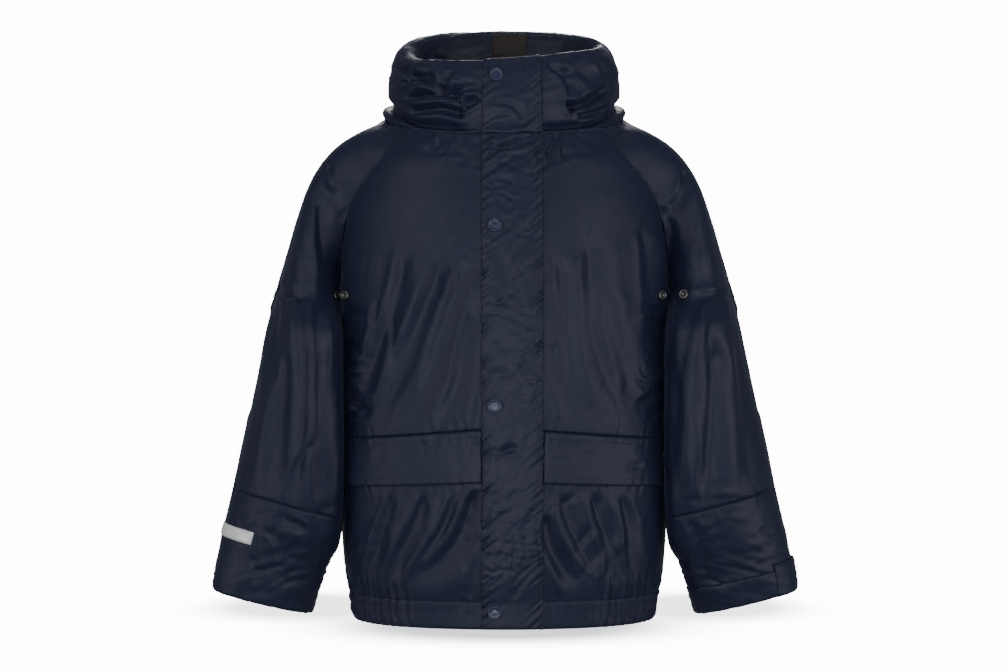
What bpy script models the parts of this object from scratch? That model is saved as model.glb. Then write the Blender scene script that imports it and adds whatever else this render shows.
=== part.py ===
"""A child's raincoat, closed and filled out, with its hood rolled up inside the collar.

The garment is worked out as one net of points: the body in rows from the neck to the hem, each sleeve
in rows from its raglan seam to the cuff, and the collar in rows from the neckline over its rim to the
inside. Every sewn piece is a stretch of that net, drawn back a little at its seams and given the cloth's
thickness. What lies on a piece is made from that piece's own points, moved out.

The front faces -Y, the wearer's left is +X, and the middle of the shoulder line is the origin.
"""

import math
from collections import namedtuple

import bmesh
import bpy
import numpy as np
from mathutils import Vector
from mathutils.bvhtree import BVHTree

# Driving dimensions, in metres
CLOTH = 0.0012            # thickness of one layer of coated cloth
SEAM_GAP = 0.0003         # between two sewn pieces, and between a piece and what lies on it
FOLD_GAP = 0.0003         # how far each side of a sharp fold is drawn in
ZIP_HALF = 0.005          # the fronts stop this far from the middle
FLAP_FREE = 0.024         # the storm flap's free edge, on the wearer's right
FLAP_SEWN = 0.042         # the storm flap's sewn edge, on the wearer's left
TAPE_HALF = 0.0145        # half the width of the zip's tapes
NECK_HALF_WIDTH = 0.133
NECK_FRONT = 0.092
NECK_BACK = 0.084
NECK_Z = 0.012            # the neckline's height at the sides
NECK_TILT = 0.025         # how much lower it is in front, and higher behind
RIM_Z = 0.095             # the collar's rim at the sides
RIM_TILT = 0.026
RAGLAN_FRONT_X = 0.111    # where the raglan seams meet the neckline
RAGLAN_BACK_X = 0.104
SQUARE = 0.62             # how square the body's rings are: 0.55 would be an ellipse
SNAP_RADIUS = 0.0075
SNAP_HEIGHT = 0.0034
EYELET_RADIUS = 0.0052
EYELET_HOLE = 0.0022
EYELET_HEIGHT = 0.0011

# Counts of cells in the net
FRONT_CELLS = 7           # from the storm flap's sewn edge out to the side
BACK_CELLS = 14
SLEEVE_CELLS = 14         # across the sleeve, from its front seam to its back seam

# A row of the body above the armpit: the ring it is part of, and where the raglan seam cuts it off
Yoke = namedtuple("Yoke", "middle_z depth half_width x z")
FRONT_YOKE = [
    Yoke(-0.042, 0.099, 0.164, 0.134, -0.036),
    Yoke(-0.067, 0.104, 0.176, 0.155, -0.064),
    Yoke(-0.090, 0.108, 0.182, 0.168, -0.088),
    Yoke(-0.118, 0.112, 0.184, 0.176, -0.117),
    Yoke(-0.147, 0.115, 0.184, 0.1805, -0.145),
    Yoke(-0.169, 0.116, 0.184, 0.1830, -0.166),
]
BACK_YOKE = [
    Yoke(-0.002, 0.092, 0.158, 0.127, -0.006),
    Yoke(-0.040, 0.098, 0.174, 0.149, -0.040),
    Yoke(-0.072, 0.102, 0.181, 0.164, -0.072),
    Yoke(-0.106, 0.105, 0.184, 0.174, -0.106),
    Yoke(-0.141, 0.107, 0.184, 0.1800, -0.141),
    Yoke(-0.168, 0.107, 0.184, 0.1830, -0.166),
]

# A whole ring of the body, from the armpit down
Ring = namedtuple("Ring", "front_z side_z half_width front back")
BODY = [
    Ring(-0.183, -0.182, 0.1840, 0.117, 0.107),
    Ring(-0.213, -0.214, 0.1840, 0.118, 0.107),
    Ring(-0.244, -0.248, 0.1838, 0.118, 0.106),
    Ring(-0.274, -0.282, 0.1836, 0.119, 0.106),
    Ring(-0.302, -0.314, 0.1835, 0.119, 0.106),
    Ring(-0.329, -0.344, 0.1835, 0.119, 0.106),
    Ring(-0.358, -0.370, 0.1832, 0.118, 0.106),
    Ring(-0.386, -0.395, 0.1828, 0.117, 0.105),
    Ring(-0.424, -0.430, 0.1820, 0.115, 0.104),
    Ring(-0.462, -0.465, 0.1805, 0.113, 0.102),
    Ring(-0.494, -0.495, 0.1770, 0.110, 0.100),
    Ring(-0.517, -0.517, 0.1705, 0.106, 0.097),
    Ring(-0.545, -0.545, 0.1665, 0.104, 0.095),
]
POCKET_SEAM = 12          # rows of the body's net, counted from the neckline
FLAP_EDGE = 14
HEM_SEAM = 18

# A row of the sleeve's cap, from the front raglan seam over the ridge of the shoulder to the back one:
# its point on the ridge, the angle at which it leaves a seam, and how far it holds that way and the ridge's
Cap = namedtuple("Cap", "ridge_x ridge_z angle leave settle")
CAP = [
    Cap(0.160, -0.003, 28, 0.026, 0.036),
    Cap(0.186, -0.019, 18, 0.028, 0.038),
    Cap(0.206, -0.041, -5, 0.030, 0.044),
    Cap(0.220, -0.068, -35, 0.044, 0.052),
    Cap(0.231, -0.098, -62, 0.059, 0.060),
    Cap(0.241, -0.131, -78, 0.080, 0.066),
    Cap(0.250, -0.167, -86, 0.098, 0.072),
]

# A ring of the sleeve: its outer and inner points, half its depth, and how far forward it is, and its
# inner point beyond that, because the sleeve hangs a little in front of the body's side
Section = namedtuple("Section", "outer_x outer_z inner_x inner_z half_depth forward inner_forward")
SLEEVE = [
    Section(0.2620, -0.212, 0.1872, -0.228, 0.074, 0.000, 0.012),
    Section(0.2715, -0.256, 0.1852, -0.276, 0.069, 0.001, 0.024),
    Section(0.2810, -0.300, 0.1838, -0.324, 0.063, 0.003, 0.032),
    Section(0.2910, -0.345, 0.1834, -0.374, 0.057, 0.005, 0.034),
    Section(0.3025, -0.398, 0.1838, -0.430, 0.049, 0.008, 0.030),
    Section(0.3115, -0.437, 0.1868, -0.466, 0.044, 0.010, 0.022),
    Section(0.3150, -0.451, 0.1918, -0.479, 0.042, 0.011, 0.018),
    Section(0.3200, -0.4765, 0.2010, -0.503, 0.039, 0.012, 0.010),
    Section(0.3220, -0.485, 0.2045, -0.512, 0.038, 0.013, 0.008),
    Section(0.3250, -0.512, 0.2130, -0.539, 0.036, 0.014, 0.000),
]
FOREARM_SEAM = len(CAP) + 5   # rows of the sleeve's net, counted from the neckline
STRIP_TOP = len(CAP) + 6
STRIP_END = len(CAP) + 7
TAB_TOP = len(CAP) + 8
CUFF_SEAM = len(CAP) + 9

# The collar's section: how far up between its base and its rim, and how far in, as shares
Profile = namedtuple("Profile", "up inward")
COLLAR = [
    Profile(0.33, 0.08),
    Profile(0.66, 0.17),
    Profile(0.88, 0.32),
    Profile(1.00, 0.60),
    Profile(0.93, 0.92),
    Profile(0.70, 1.05),
    Profile(0.35, 1.00),
    Profile(0.08, 0.62),
]
ROLL_TOP = 2              # rows of the collar's net, counted from the neckline
RIM_SEAM = 7

# The largest folds, as soft troughs: two ends seen from the front, half width and depth
Fold = namedtuple("Fold", "x0 z0 x1 z1 half_width depth")
FRONT_FOLDS = [
    Fold(-0.118, -0.150, -0.152, -0.300, 0.016, 0.0040),
    Fold(-0.070, -0.135, -0.125, -0.325, 0.017, 0.0045),
    Fold(0.070, -0.140, 0.118, -0.325, 0.017, 0.0040),
    Fold(0.108, -0.135, 0.152, -0.290, 0.016, 0.0035),
    Fold(-0.045, -0.405, -0.092, -0.508, 0.016, 0.0050),
    Fold(0.060, -0.420, 0.084, -0.508, 0.015, 0.0045),
    Fold(0.128, -0.410, 0.140, -0.505, 0.015, 0.0035),
]
BACK_FOLDS = [
    Fold(-0.060, -0.150, -0.110, -0.400, 0.020, 0.0045),
    Fold(0.066, -0.170, 0.104, -0.430, 0.020, 0.0045),
    Fold(0.010, -0.300, 0.018, -0.500, 0.018, 0.0035),
]

NAVY = (0.012, 0.016, 0.045, 1)


def bezier(p0, p1, p2, p3, count=400):
    """Close points along a cubic curve."""
    t = np.linspace(0, 1, count)[:, None]
    p0, p1, p2, p3 = (np.array(p, float) for p in (p0, p1, p2, p3))
    return (1 - t) ** 3 * p0 + 3 * (1 - t) ** 2 * t * p1 + 3 * (1 - t) * t * t * p2 + t ** 3 * p3


def smooth_step(value):
    value = min(max(value, 0.0), 1.0)
    return value * value * (3 - 2 * value)


def neck_point(turn):
    """A point of the neckline, turn radians round from the middle front towards the wearer's left."""
    depth = NECK_FRONT if math.cos(turn) > 0 else NECK_BACK
    return np.array([
        NECK_HALF_WIDTH * math.sin(turn),
        -depth * math.cos(turn),
        NECK_Z - NECK_TILT * math.cos(turn),
    ])


def neck_turn(x, behind=False):
    turn = math.asin(x / NECK_HALF_WIDTH)
    return math.pi - turn if behind else turn


def ring_curve(middle_z, depth, half_width, side_z):
    """The left half of a ring of the body, from its middle round to its side, for the front or the back."""
    line = bezier((0, -depth), (SQUARE * half_width, -depth), (half_width, -SQUARE * depth), (half_width, 0))
    height = middle_z + (side_z - middle_z) * line[:, :1] / half_width
    return np.hstack([line, height])


def yoke_curve(row, side):
    """The part of a ring above the armpit that is body and not sleeve."""
    side_z = row.middle_z + (row.z - row.middle_z) * row.half_width / row.x
    line = ring_curve(row.middle_z, side * row.depth, row.half_width, side_z)
    end = [[row.x, np.interp(row.x, line[:, 0], line[:, 1]), row.z]]
    return np.vstack([line[line[:, 0] < row.x], end])


def evenly(line, count):
    """Points of a line at count equal steps along it, the first and last included."""
    along = np.concatenate([[0], np.cumsum(np.linalg.norm(np.diff(line, axis=0), axis=1))])
    at = np.linspace(0, along[-1], count + 1)
    return np.stack([np.interp(at, along, line[:, k]) for k in range(3)], axis=1)


def front_points(line):
    """A front row's points: at the zip, at the storm flap's two edges, then evenly out to the side."""
    edges = [ZIP_HALF, FLAP_FREE, FLAP_SEWN]
    near = [[x, np.interp(x, line[:, 0], line[:, 1]), np.interp(x, line[:, 0], line[:, 2])] for x in edges]
    rest = np.vstack([near[-1:], line[line[:, 0] > FLAP_SEWN]])
    return np.vstack([near[:-1], evenly(rest, FRONT_CELLS)])


class Net:
    """All the garment's points, with those that two patches share kept once."""

    def __init__(self):
        self.points = []
        self.patches = {}

    def add(self, point):
        self.points.append(np.array(point, float))
        return len(self.points) - 1

    def add_row(self, row):
        return [self.add(p) for p in row]

    def patch(self, name, rows, outward):
        self.patches[name] = (np.array(rows), outward)


def half_body(net, side):
    """The front's rows on one side, and the neckline over the shoulder. side is 1 for the wearer's left."""
    flip = np.array([side, 1, 1])
    turns = np.linspace(0, neck_turn(RAGLAN_FRONT_X), 400)
    neck = front_points(np.array([neck_point(t) for t in turns]))
    front = [net.add_row(neck * flip)]
    for row in FRONT_YOKE:
        front.append(net.add_row(front_points(yoke_curve(row, 1)) * flip))
    for ring in BODY:
        line = ring_curve(ring.front_z, ring.front, ring.half_width, ring.side_z)
        front.append(net.add_row(front_points(line) * flip))
    return front, shoulder_points(net, front[0][-1], flip)


def shoulder_points(net, start, flip):
    """The neckline over one shoulder: as many cells before the ridge of the shoulder as behind it."""
    half = SLEEVE_CELLS // 2 + 1
    before = np.linspace(neck_turn(RAGLAN_FRONT_X), math.pi / 2, half)
    behind = np.linspace(math.pi / 2, neck_turn(RAGLAN_BACK_X, behind=True), half)
    turns = list(before[1:]) + list(behind[1:])
    return [start] + net.add_row([neck_point(t) * flip for t in turns])


def back_rows(net, fronts, shoulders):
    """The back's rows from the wearer's left to right, which end in the fronts' side points."""
    start, end = neck_turn(RAGLAN_BACK_X, behind=True), 2 * math.pi - neck_turn(RAGLAN_BACK_X, behind=True)
    line = np.array([neck_point(t) for t in np.linspace(start, end, 800)])
    inner = net.add_row(evenly(line, BACK_CELLS)[1:-1])
    rows = [[shoulders[1][-1]] + inner + [shoulders[-1][-1]]]
    for row in BACK_YOKE:
        curve = yoke_curve(row, -1)
        whole = np.vstack([curve[::-1], curve[1:] * [-1, 1, 1]])
        rows.append(net.add_row(evenly(whole, BACK_CELLS)))
    for number, ring in enumerate(BODY):
        curve = ring_curve(ring.side_z, -ring.back, ring.half_width, ring.side_z)
        whole = np.vstack([curve[::-1], curve[1:] * [-1, 1, 1]])
        row = len(FRONT_YOKE) + 1 + number
        inner = net.add_row(evenly(whole, BACK_CELLS)[1:-1])
        rows.append([fronts[1][row][-1]] + inner + [fronts[-1][row][-1]])
    return rows


def own_normals(net, name):
    """Each point's outward direction, from the cells of one patch."""
    ids, outward = net.patches[name]
    points = np.array(net.points)
    total = np.zeros_like(points)
    corners = triangles(ids, outward).T
    first, second, third = (points[k] for k in corners)
    normal = np.cross(second - first, third - first)
    for k in corners:
        np.add.at(total, k, normal)
    return total


def triangles(ids, outward):
    """Two triangles for each cell, facing out. What lies on a patch is cut along the same diagonals."""
    a, b, c, d = (k.ravel() for k in (ids[:-1, :-1], ids[1:, :-1], ids[1:, 1:], ids[:-1, 1:]))
    if outward == 1:
        return np.vstack([np.stack([a, b, c], axis=1), np.stack([a, c, d], axis=1)])
    return np.vstack([np.stack([a, d, b], axis=1), np.stack([d, c, b], axis=1)])


def unit(vectors):
    return vectors / np.maximum(np.linalg.norm(vectors, axis=-1, keepdims=True), 1e-12)


def sleeve_ring(section):
    """A sleeve's ring from its underarm point, round the front, the outside and the back."""
    outer = np.array([section.outer_x, -section.forward, section.outer_z])
    inner = np.array([section.inner_x, -section.forward - section.inner_forward, section.inner_z])
    angles = np.linspace(math.pi, 0, 200)
    across = np.sign(np.cos(angles)) * np.abs(np.cos(angles)) ** 0.8
    level = (outer + inner) / 2 + np.outer(across, (outer - inner) / 2)
    deep = np.outer(np.sin(angles) ** 0.9, [0, section.half_depth, 0])
    front = evenly(level - deep, SLEEVE_CELLS // 2)
    behind = evenly(level + deep, SLEEVE_CELLS // 2)
    return np.vstack([front, behind[-2::-1]])


def cap_half(row, seam, behind):
    """From a point of a raglan seam to the ridge of the shoulder. The height follows the way outwards."""
    side = -1 if behind else 1
    turn = math.radians(row.angle)
    ridge = np.array([row.ridge_x, 0])
    start = np.array([abs(seam[0]), seam[1]])
    leave = start + np.array([math.cos(turn), side * math.sin(turn)]) * row.leave
    line = bezier(start, leave, ridge - [0, side * row.settle], ridge)
    out = (line[:, :1] - start[0]) / (ridge[0] - start[0])
    return evenly(np.hstack([line, seam[2] + (row.ridge_z - seam[2]) * out]), SLEEVE_CELLS // 2)


def sleeve_rows(net, side, front, back, shoulder):
    """A sleeve's rows: the neckline, the cap between the raglan seams, and the rings to the cuff."""
    flip = np.array([side, 1, 1])
    edge = 0 if side == 1 else -1
    rows = [shoulder]
    for number, row in enumerate(CAP, 1):
        start, end = front[number][-1], back[number][edge]
        before = cap_half(row, net.points[start], False)
        behind = cap_half(row, net.points[end], True)[::-1]
        inner = net.add_row(np.vstack([before[1:], behind[1:-1]]) * flip)
        rows.append([start] + inner + [end])
    for section in SLEEVE:
        ids = net.add_row(sleeve_ring(section)[:-1] * flip)
        rows.append(ids + ids[:1])
    return rows


def collar_rows(net, neckline):
    """The collar's rows: up its outside from the neckline, over the rim, and down its inside."""
    rows = [neckline] + [[] for _ in range(ROLL_TOP + len(COLLAR))]
    for point in neckline:
        base = net.points[point]
        depth = NECK_FRONT if base[1] < 0 else NECK_BACK
        out = unit(np.array([base[0] / NECK_HALF_WIDTH ** 2, base[1] / depth ** 2, 0]))
        turn = math.atan2(abs(base[0]) / NECK_HALF_WIDTH, -base[1] / depth)
        beside = smooth_step((math.degrees(turn) - 42) / 40)
        roll = 0.004 + 0.013 * beside
        thick = 0.027 + 0.012 * beside - 0.005 * smooth_step((math.degrees(turn) - 110) / 60)
        seam = base + [0, 0, roll] - out * 0.03 * thick
        height = RIM_Z - RIM_TILT * math.cos(turn) - seam[2]
        rows[1].append(net.add(base + [0, 0, roll / 2] + out * 0.0035 * beside))
        rows[2].append(net.add(seam))
        for row, place in enumerate(COLLAR, ROLL_TOP + 1):
            rows[row].append(net.add(base + [0, 0, roll + place.up * height] - out * place.inward * thick))
    return rows


def fold_depth(point, folds):
    """How deep the troughs are at a point seen from the front, each fading out at its two ends."""
    depth = 0.0
    for fold in folds:
        start, end = np.array([fold.x0, fold.z0]), np.array([fold.x1, fold.z1])
        run = end - start
        away = np.array([point[0], point[2]]) - start
        share = min(max((away @ run) / (run @ run), 0), 1)
        far = np.linalg.norm(away - share * run)
        ends = smooth_step(share / 0.25) * smooth_step((1 - share) / 0.2)
        depth += fold.depth * ends * math.exp(-(far / fold.half_width) ** 2)
    return depth


def build_net():
    net = Net()
    fronts, shoulders = {}, {}
    for side in (1, -1):
        fronts[side], shoulders[side] = half_body(net, side)
        net.patch("body_front" + str(side), fronts[side], side)
    back = back_rows(net, fronts, shoulders)
    net.patch("body_back", back, 1)
    for side in (1, -1):
        sleeve = sleeve_rows(net, side, fronts[side], back, shoulders[side])
        net.patch("sleeve" + str(side), sleeve, side)
    neckline = fronts[1][0] + shoulders[1][1:] + back[0][1:-1]
    neckline += shoulders[-1][::-1][:-1] + fronts[-1][0][::-1]
    collar = collar_rows(net, neckline)
    net.patch("collar", collar, -1)
    pressed = {"body_front1": FRONT_FOLDS, "body_front-1": FRONT_FOLDS, "body_back": BACK_FOLDS}
    for name, folds in pressed.items():
        normal = unit(own_normals(net, name))
        for point in np.unique(net.patches[name][0][1:, 1:-1]):
            net.points[point] -= normal[point] * fold_depth(net.points[point], folds)
    middle = [[row[-2], row[-1], row[0], row[1], row[2]] for row in collar[:0:-1]]
    middle += [[fronts[-1][k][1], fronts[-1][k][0]] + fronts[1][k][:3] for k in range(len(back))]
    net.patch("middle", middle, 1)
    return net


def surfaces(net):
    """For each patch, its points and outward directions, with the sides of sharp folds drawn apart."""
    own = {name: own_normals(net, name) for name in net.patches}
    total = sum(own[name] for name in net.patches if name != "middle")
    body = sum(own[name] for name in net.patches if name.startswith("body"))
    points = np.array(net.points)
    found = {}
    for name, (ids, _) in net.patches.items():
        mine = unit((body if name.startswith("body") else own[name])[ids])
        shared = unit(total[ids])
        same = ((mine * shared).sum(-1) > 0.6)[..., None]
        place = np.where(same | (name == "middle"), points[ids], points[ids] - FOLD_GAP * mine)
        found[name] = (place, np.where(same, shared, mine))
    return found


def drawn_back(place):
    """A stretch of the net with each of its edges drawn back by half the gap of a seam."""
    place = place.copy()
    inset = np.zeros_like(place)
    for edge, following in ((0, 1), (-1, -2)):
        inset[edge] += across(place[following] - place[edge], np.gradient(place[edge], axis=0))
        inset[:, edge] += across(place[:, following] - place[:, edge], np.gradient(place[:, edge], axis=0))
    return place + inset * SEAM_GAP * 0.55


def across(step, along):
    """The direction of a step, less what runs along the edge that it leaves."""
    along = unit(along)
    return unit(step - (step * along).sum(-1, keepdims=True) * along)


def wall(name, place, normal, lowest, thick, outward, colour, roughness=0.45, metallic=0.0):
    """A closed wall over a stretch of the net, from lowest above it to lowest plus thick."""
    place = drawn_back(place)
    rows, columns = place.shape[:2]
    inner = (place + normal * lowest).reshape(-1, 3)
    outer = (place + normal * (lowest + thick)).reshape(-1, 3)
    number = np.arange(rows * columns).reshape(rows, columns)
    faces = [tuple(face) for face in triangles(number, outward)]
    around = list(number[:, 0]) + list(number[-1, 1:]) + list(number[-2::-1, -1]) + list(number[0, -2:0:-1])
    total = rows * columns
    shell = [tuple(v + total for v in face) for face in faces]
    back = [face[::-1] for face in faces]
    rim = []
    for k, v in enumerate(around):
        w = around[(k + 1) % len(around)]
        rim.append((v, w, w + total, v + total))
    return make_mesh(name, np.vstack([inner, outer]), shell + back + rim, colour, roughness, metallic)


def make_mesh(name, points, faces, colour, roughness=0.45, metallic=0.0):
    mesh = bpy.data.meshes.new(name)
    mesh.from_pydata([tuple(map(float, p)) for p in points], [], [tuple(map(int, f)) for f in faces])
    mesh.validate()
    work = bmesh.new()
    work.from_mesh(mesh)
    bmesh.ops.recalc_face_normals(work, faces=work.faces)
    work.to_mesh(mesh)
    work.free()
    obj = bpy.data.objects.new(name, mesh)
    bpy.context.scene.collection.objects.link(obj)
    mesh.materials.append(finish(name, colour, roughness, metallic))
    return obj


def finish(name, colour, roughness, metallic):
    material = bpy.data.materials.new(name)
    material.use_nodes = True
    shader = material.node_tree.nodes["Principled BSDF"]
    shader.inputs["Base Color"].default_value = colour
    shader.inputs["Roughness"].default_value = roughness
    shader.inputs["Metallic"].default_value = metallic
    return material


def piece(surface, net, name, patch, rows, columns, lowest=-CLOTH, thick=CLOTH, colour=NAVY):
    """A named wall over some rows and columns of a patch, both ends included."""
    place, normal = surface[patch]
    outward = net.patches[patch][1]
    window = (slice(rows[0], rows[1] + 1), slice(columns[0], columns[1] + 1))
    return wall(name, place[window], normal[window], lowest, thick, outward, colour)


def build_body(surface, net):
    last = len(FRONT_YOKE) + len(BODY)
    side_column = FRONT_CELLS + 2
    for side, name in ((1, "left"), (-1, "right")):
        patch = "body_front" + str(side)
        piece(surface, net, "front_upper_" + name, patch, (0, POCKET_SEAM), (0, side_column))
        piece(surface, net, "front_lower_" + name, patch, (POCKET_SEAM, HEM_SEAM), (0, side_column))
        piece(surface, net, "hem_" + name, patch, (HEM_SEAM, last), (0, side_column))
        inner_end = 2 if side == 1 else 1
        piece(surface, net, "pocket_flap_" + name, patch, (POCKET_SEAM, FLAP_EDGE),
              (inner_end, side_column - 1), SEAM_GAP)
    piece(surface, net, "back", "body_back", (0, HEM_SEAM), (0, BACK_CELLS))
    piece(surface, net, "hem_back", "body_back", (HEM_SEAM, last), (0, BACK_CELLS))


def build_middle(surface, net):
    """The storm flap in two lengths, and the zip behind it."""
    collar_length = ROLL_TOP + len(COLLAR)
    rim = collar_length - (RIM_SEAM - 1)
    last = len(net.patches["middle"][0]) - 1
    piece(surface, net, "storm_flap_collar", "middle", (rim, collar_length), (0, 4), SEAM_GAP, 0.0016)
    piece(surface, net, "storm_flap", "middle", (collar_length, last), (0, 4), SEAM_GAP, 0.0016)
    place, normal = surface["middle"]
    share = (TAPE_HALF - ZIP_HALF) / (FLAP_FREE - ZIP_HALF)
    tape = np.stack([
        place[:, 1] + (place[:, 0] - place[:, 1]) * share,
        place[:, 1],
        place[:, 2],
        place[:, 2] + (place[:, 3] - place[:, 2]) * share,
    ], axis=1)[rim + 1:last]
    facing = np.stack([normal[:, 0], normal[:, 1], normal[:, 2], normal[:, 3]], axis=1)[rim + 1:last]
    wall("zip_tape", tape, facing, -CLOTH - 0.0006 - CLOTH, CLOTH, 1, (0.01, 0.01, 0.015, 1))


def build_sleeves(surface, net):
    around = SLEEVE_CELLS
    last = len(CAP) + len(SLEEVE)
    near, far = around // 2 - 2, around // 2 + 2
    for side, name in ((1, "left"), (-1, "right")):
        patch = "sleeve" + str(side)
        cuff = CUFF_SEAM if side == 1 else last
        piece(surface, net, "sleeve_upper_" + name, patch, (0, FOREARM_SEAM), (0, around))
        piece(surface, net, "sleeve_lower_" + name, patch, (FOREARM_SEAM, cuff), (0, around))
    piece(surface, net, "cuff_band_left", "sleeve1", (CUFF_SEAM, last), (0, around))
    piece(surface, net, "cuff_tab_left", "sleeve1", (TAB_TOP, last), (near, far), SEAM_GAP, 0.0016)
    piece(surface, net, "reflective_strip", "sleeve-1", (STRIP_TOP, STRIP_END), (near, far),
          SEAM_GAP, 0.0010, (0.55, 0.56, 0.58, 1))


def build_collar(surface, net):
    columns = net.patches["collar"][0].shape[1] - 1
    rows = net.patches["collar"][0].shape[0] - 1
    piece(surface, net, "collar_roll", "collar", (0, ROLL_TOP), (0, columns))
    piece(surface, net, "collar_outer", "collar", (ROLL_TOP, RIM_SEAM), (0, columns))
    piece(surface, net, "collar_inner", "collar", (RIM_SEAM, rows), (0, columns))
    middle = columns // 2
    piece(surface, net, "neck_patch", "collar", (RIM_SEAM, RIM_SEAM + 2), (middle - 2, middle + 1),
          SEAM_GAP, 0.0010, (0.02, 0.014, 0.012, 1))
    build_hood(surface, columns)


def build_hood(surface, columns):
    """The rolled hood: a solid roll that follows the inside of the collar, from side to side behind."""
    place, normal = surface["collar"]
    first = 3                 # columns left free beside the zip
    roll = (place - normal * (CLOTH + 2 * SEAM_GAP))[1:, first:columns + 1 - first]
    rows, count = roll.shape[:2]
    number = np.arange(rows * count).reshape(rows, count)
    faces = []
    for i in range(rows):
        for j in range(count - 1):
            k = (i + 1) % rows
            faces.append((number[i, j], number[k, j], number[k, j + 1]))
            faces.append((number[i, j], number[k, j + 1], number[i, j + 1]))
    faces += [tuple(number[:, 0]), tuple(number[::-1, -1])]
    make_mesh("hood_rolled", roll.reshape(-1, 3), faces, NAVY)


def disc_on(tree, place, rings):
    """A turned piece seated on the surface where place is seen from the front; rings are (radius, height)."""
    point, normal, _, _ = tree.ray_cast(Vector((place[0], -1, place[1])), Vector((0, 1, 0)))
    turn = normal.to_track_quat("Z", "Y")
    count = 16
    points = []
    for radius, height in rings:
        for k in range(count):
            angle = 2 * math.pi * k / count
            local = Vector((radius * math.cos(angle), radius * math.sin(angle), height + SEAM_GAP * 1.3))
            points.append(point + turn @ local)
    return points, count


def snap(name, tree, place):
    rings = [(SNAP_RADIUS * 0.94, 0), (SNAP_RADIUS, 0.0012), (SNAP_RADIUS * 0.90, 0.0026),
             (SNAP_RADIUS * 0.62, SNAP_HEIGHT)]
    points, count = disc_on(tree, place, rings)
    faces = [tuple(range(count))[::-1], tuple(range(len(points) - count, len(points)))]
    for ring in range(len(rings) - 1):
        faces += band(ring * count, (ring + 1) * count, count)
    make_mesh(name, points, faces, NAVY, 0.25)


def band(low, high, count):
    return [(low + k, low + (k + 1) % count, high + (k + 1) % count, high + k) for k in range(count)]


def eyelet(name, tree, place):
    rings = [(EYELET_HOLE, 0), (EYELET_RADIUS, 0), (EYELET_RADIUS * 0.88, EYELET_HEIGHT),
             (EYELET_HOLE * 1.25, EYELET_HEIGHT)]
    points, count = disc_on(tree, place, rings)
    faces = []
    for ring in range(len(rings)):
        faces += band(ring * count, (ring + 1) % len(rings) * count, count)
    make_mesh(name, points, faces, (0.03, 0.03, 0.032, 1), 0.3, 1.0)


def tree_of(name):
    mesh = bpy.data.objects[name].data
    return BVHTree.FromPolygons([v.co for v in mesh.vertices], [tuple(p.vertices) for p in mesh.polygons])


def build_fittings():
    flap, collar_flap = tree_of("storm_flap"), tree_of("storm_flap_collar")
    snap("snap_1", collar_flap, (-0.008, 0.050))
    for number, height in ((2, -0.113), (3, -0.306), (4, -0.526)):
        snap(f"snap_{number}", flap, (-0.0095, height))
    for name, side, sleeve_x in (("left", 1, 0.200), ("right", -1, 0.187)):
        eyelet("eyelet_body_" + name, tree_of("front_upper_" + name), (side * 0.172, -0.187))
        eyelet("eyelet_sleeve_" + name, tree_of("sleeve_upper_" + name), (side * sleeve_x, -0.186))


def main():
    for obj in list(bpy.data.objects):
        bpy.data.objects.remove(obj, do_unlink=True)
    net = build_net()
    surface = surfaces(net)
    build_body(surface, net)
    build_middle(surface, net)
    build_sleeves(surface, net)
    build_collar(surface, net)
    build_fittings()


main()
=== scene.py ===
# %% [markdown]
# # A child's raincoat
#
# A thin coated cloth sewn into a boxy raincoat: raglan sleeves, a storm flap over the zip, flaps over two
# pockets, an elastic hem, and a stand collar that is thick because the hood is rolled up inside it.
# It hangs filled out, as if worn. The solid part gives the walls and their places, and the cells below
# make the cloth itself: the same sewing net worked out far more finely, then pressed into folds.

# %% The solid part
import math
from collections import namedtuple

import bpy
import numpy as np
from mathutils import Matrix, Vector


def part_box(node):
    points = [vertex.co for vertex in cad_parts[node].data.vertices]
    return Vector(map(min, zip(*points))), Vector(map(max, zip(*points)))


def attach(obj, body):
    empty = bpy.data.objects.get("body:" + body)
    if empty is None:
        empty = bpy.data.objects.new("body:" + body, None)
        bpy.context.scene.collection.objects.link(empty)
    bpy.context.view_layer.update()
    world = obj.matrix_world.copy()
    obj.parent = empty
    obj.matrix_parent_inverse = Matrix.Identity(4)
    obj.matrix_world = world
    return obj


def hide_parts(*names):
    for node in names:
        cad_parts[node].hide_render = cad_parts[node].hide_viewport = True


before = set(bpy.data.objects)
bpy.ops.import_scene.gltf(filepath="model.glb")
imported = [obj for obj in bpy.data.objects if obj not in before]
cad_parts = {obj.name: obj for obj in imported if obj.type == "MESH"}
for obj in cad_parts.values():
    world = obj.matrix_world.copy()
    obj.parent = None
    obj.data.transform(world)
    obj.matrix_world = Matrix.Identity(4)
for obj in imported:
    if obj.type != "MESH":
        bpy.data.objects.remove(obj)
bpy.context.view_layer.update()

# %% [markdown]
# ## Sizes
#
# A jacket for a child of seven or eight is about 37 cm across the chest when it lies flat and filled, and its
# back is 55 cm long. The body is cut in rows from the neckline to the hem. The rows above the armpit stop at
# the raglan seams, and the sleeve's rows run over the shoulder from the front seam to the back one.
# These are the sizes the solid pieces have too, so the cloth lies on them.

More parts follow.
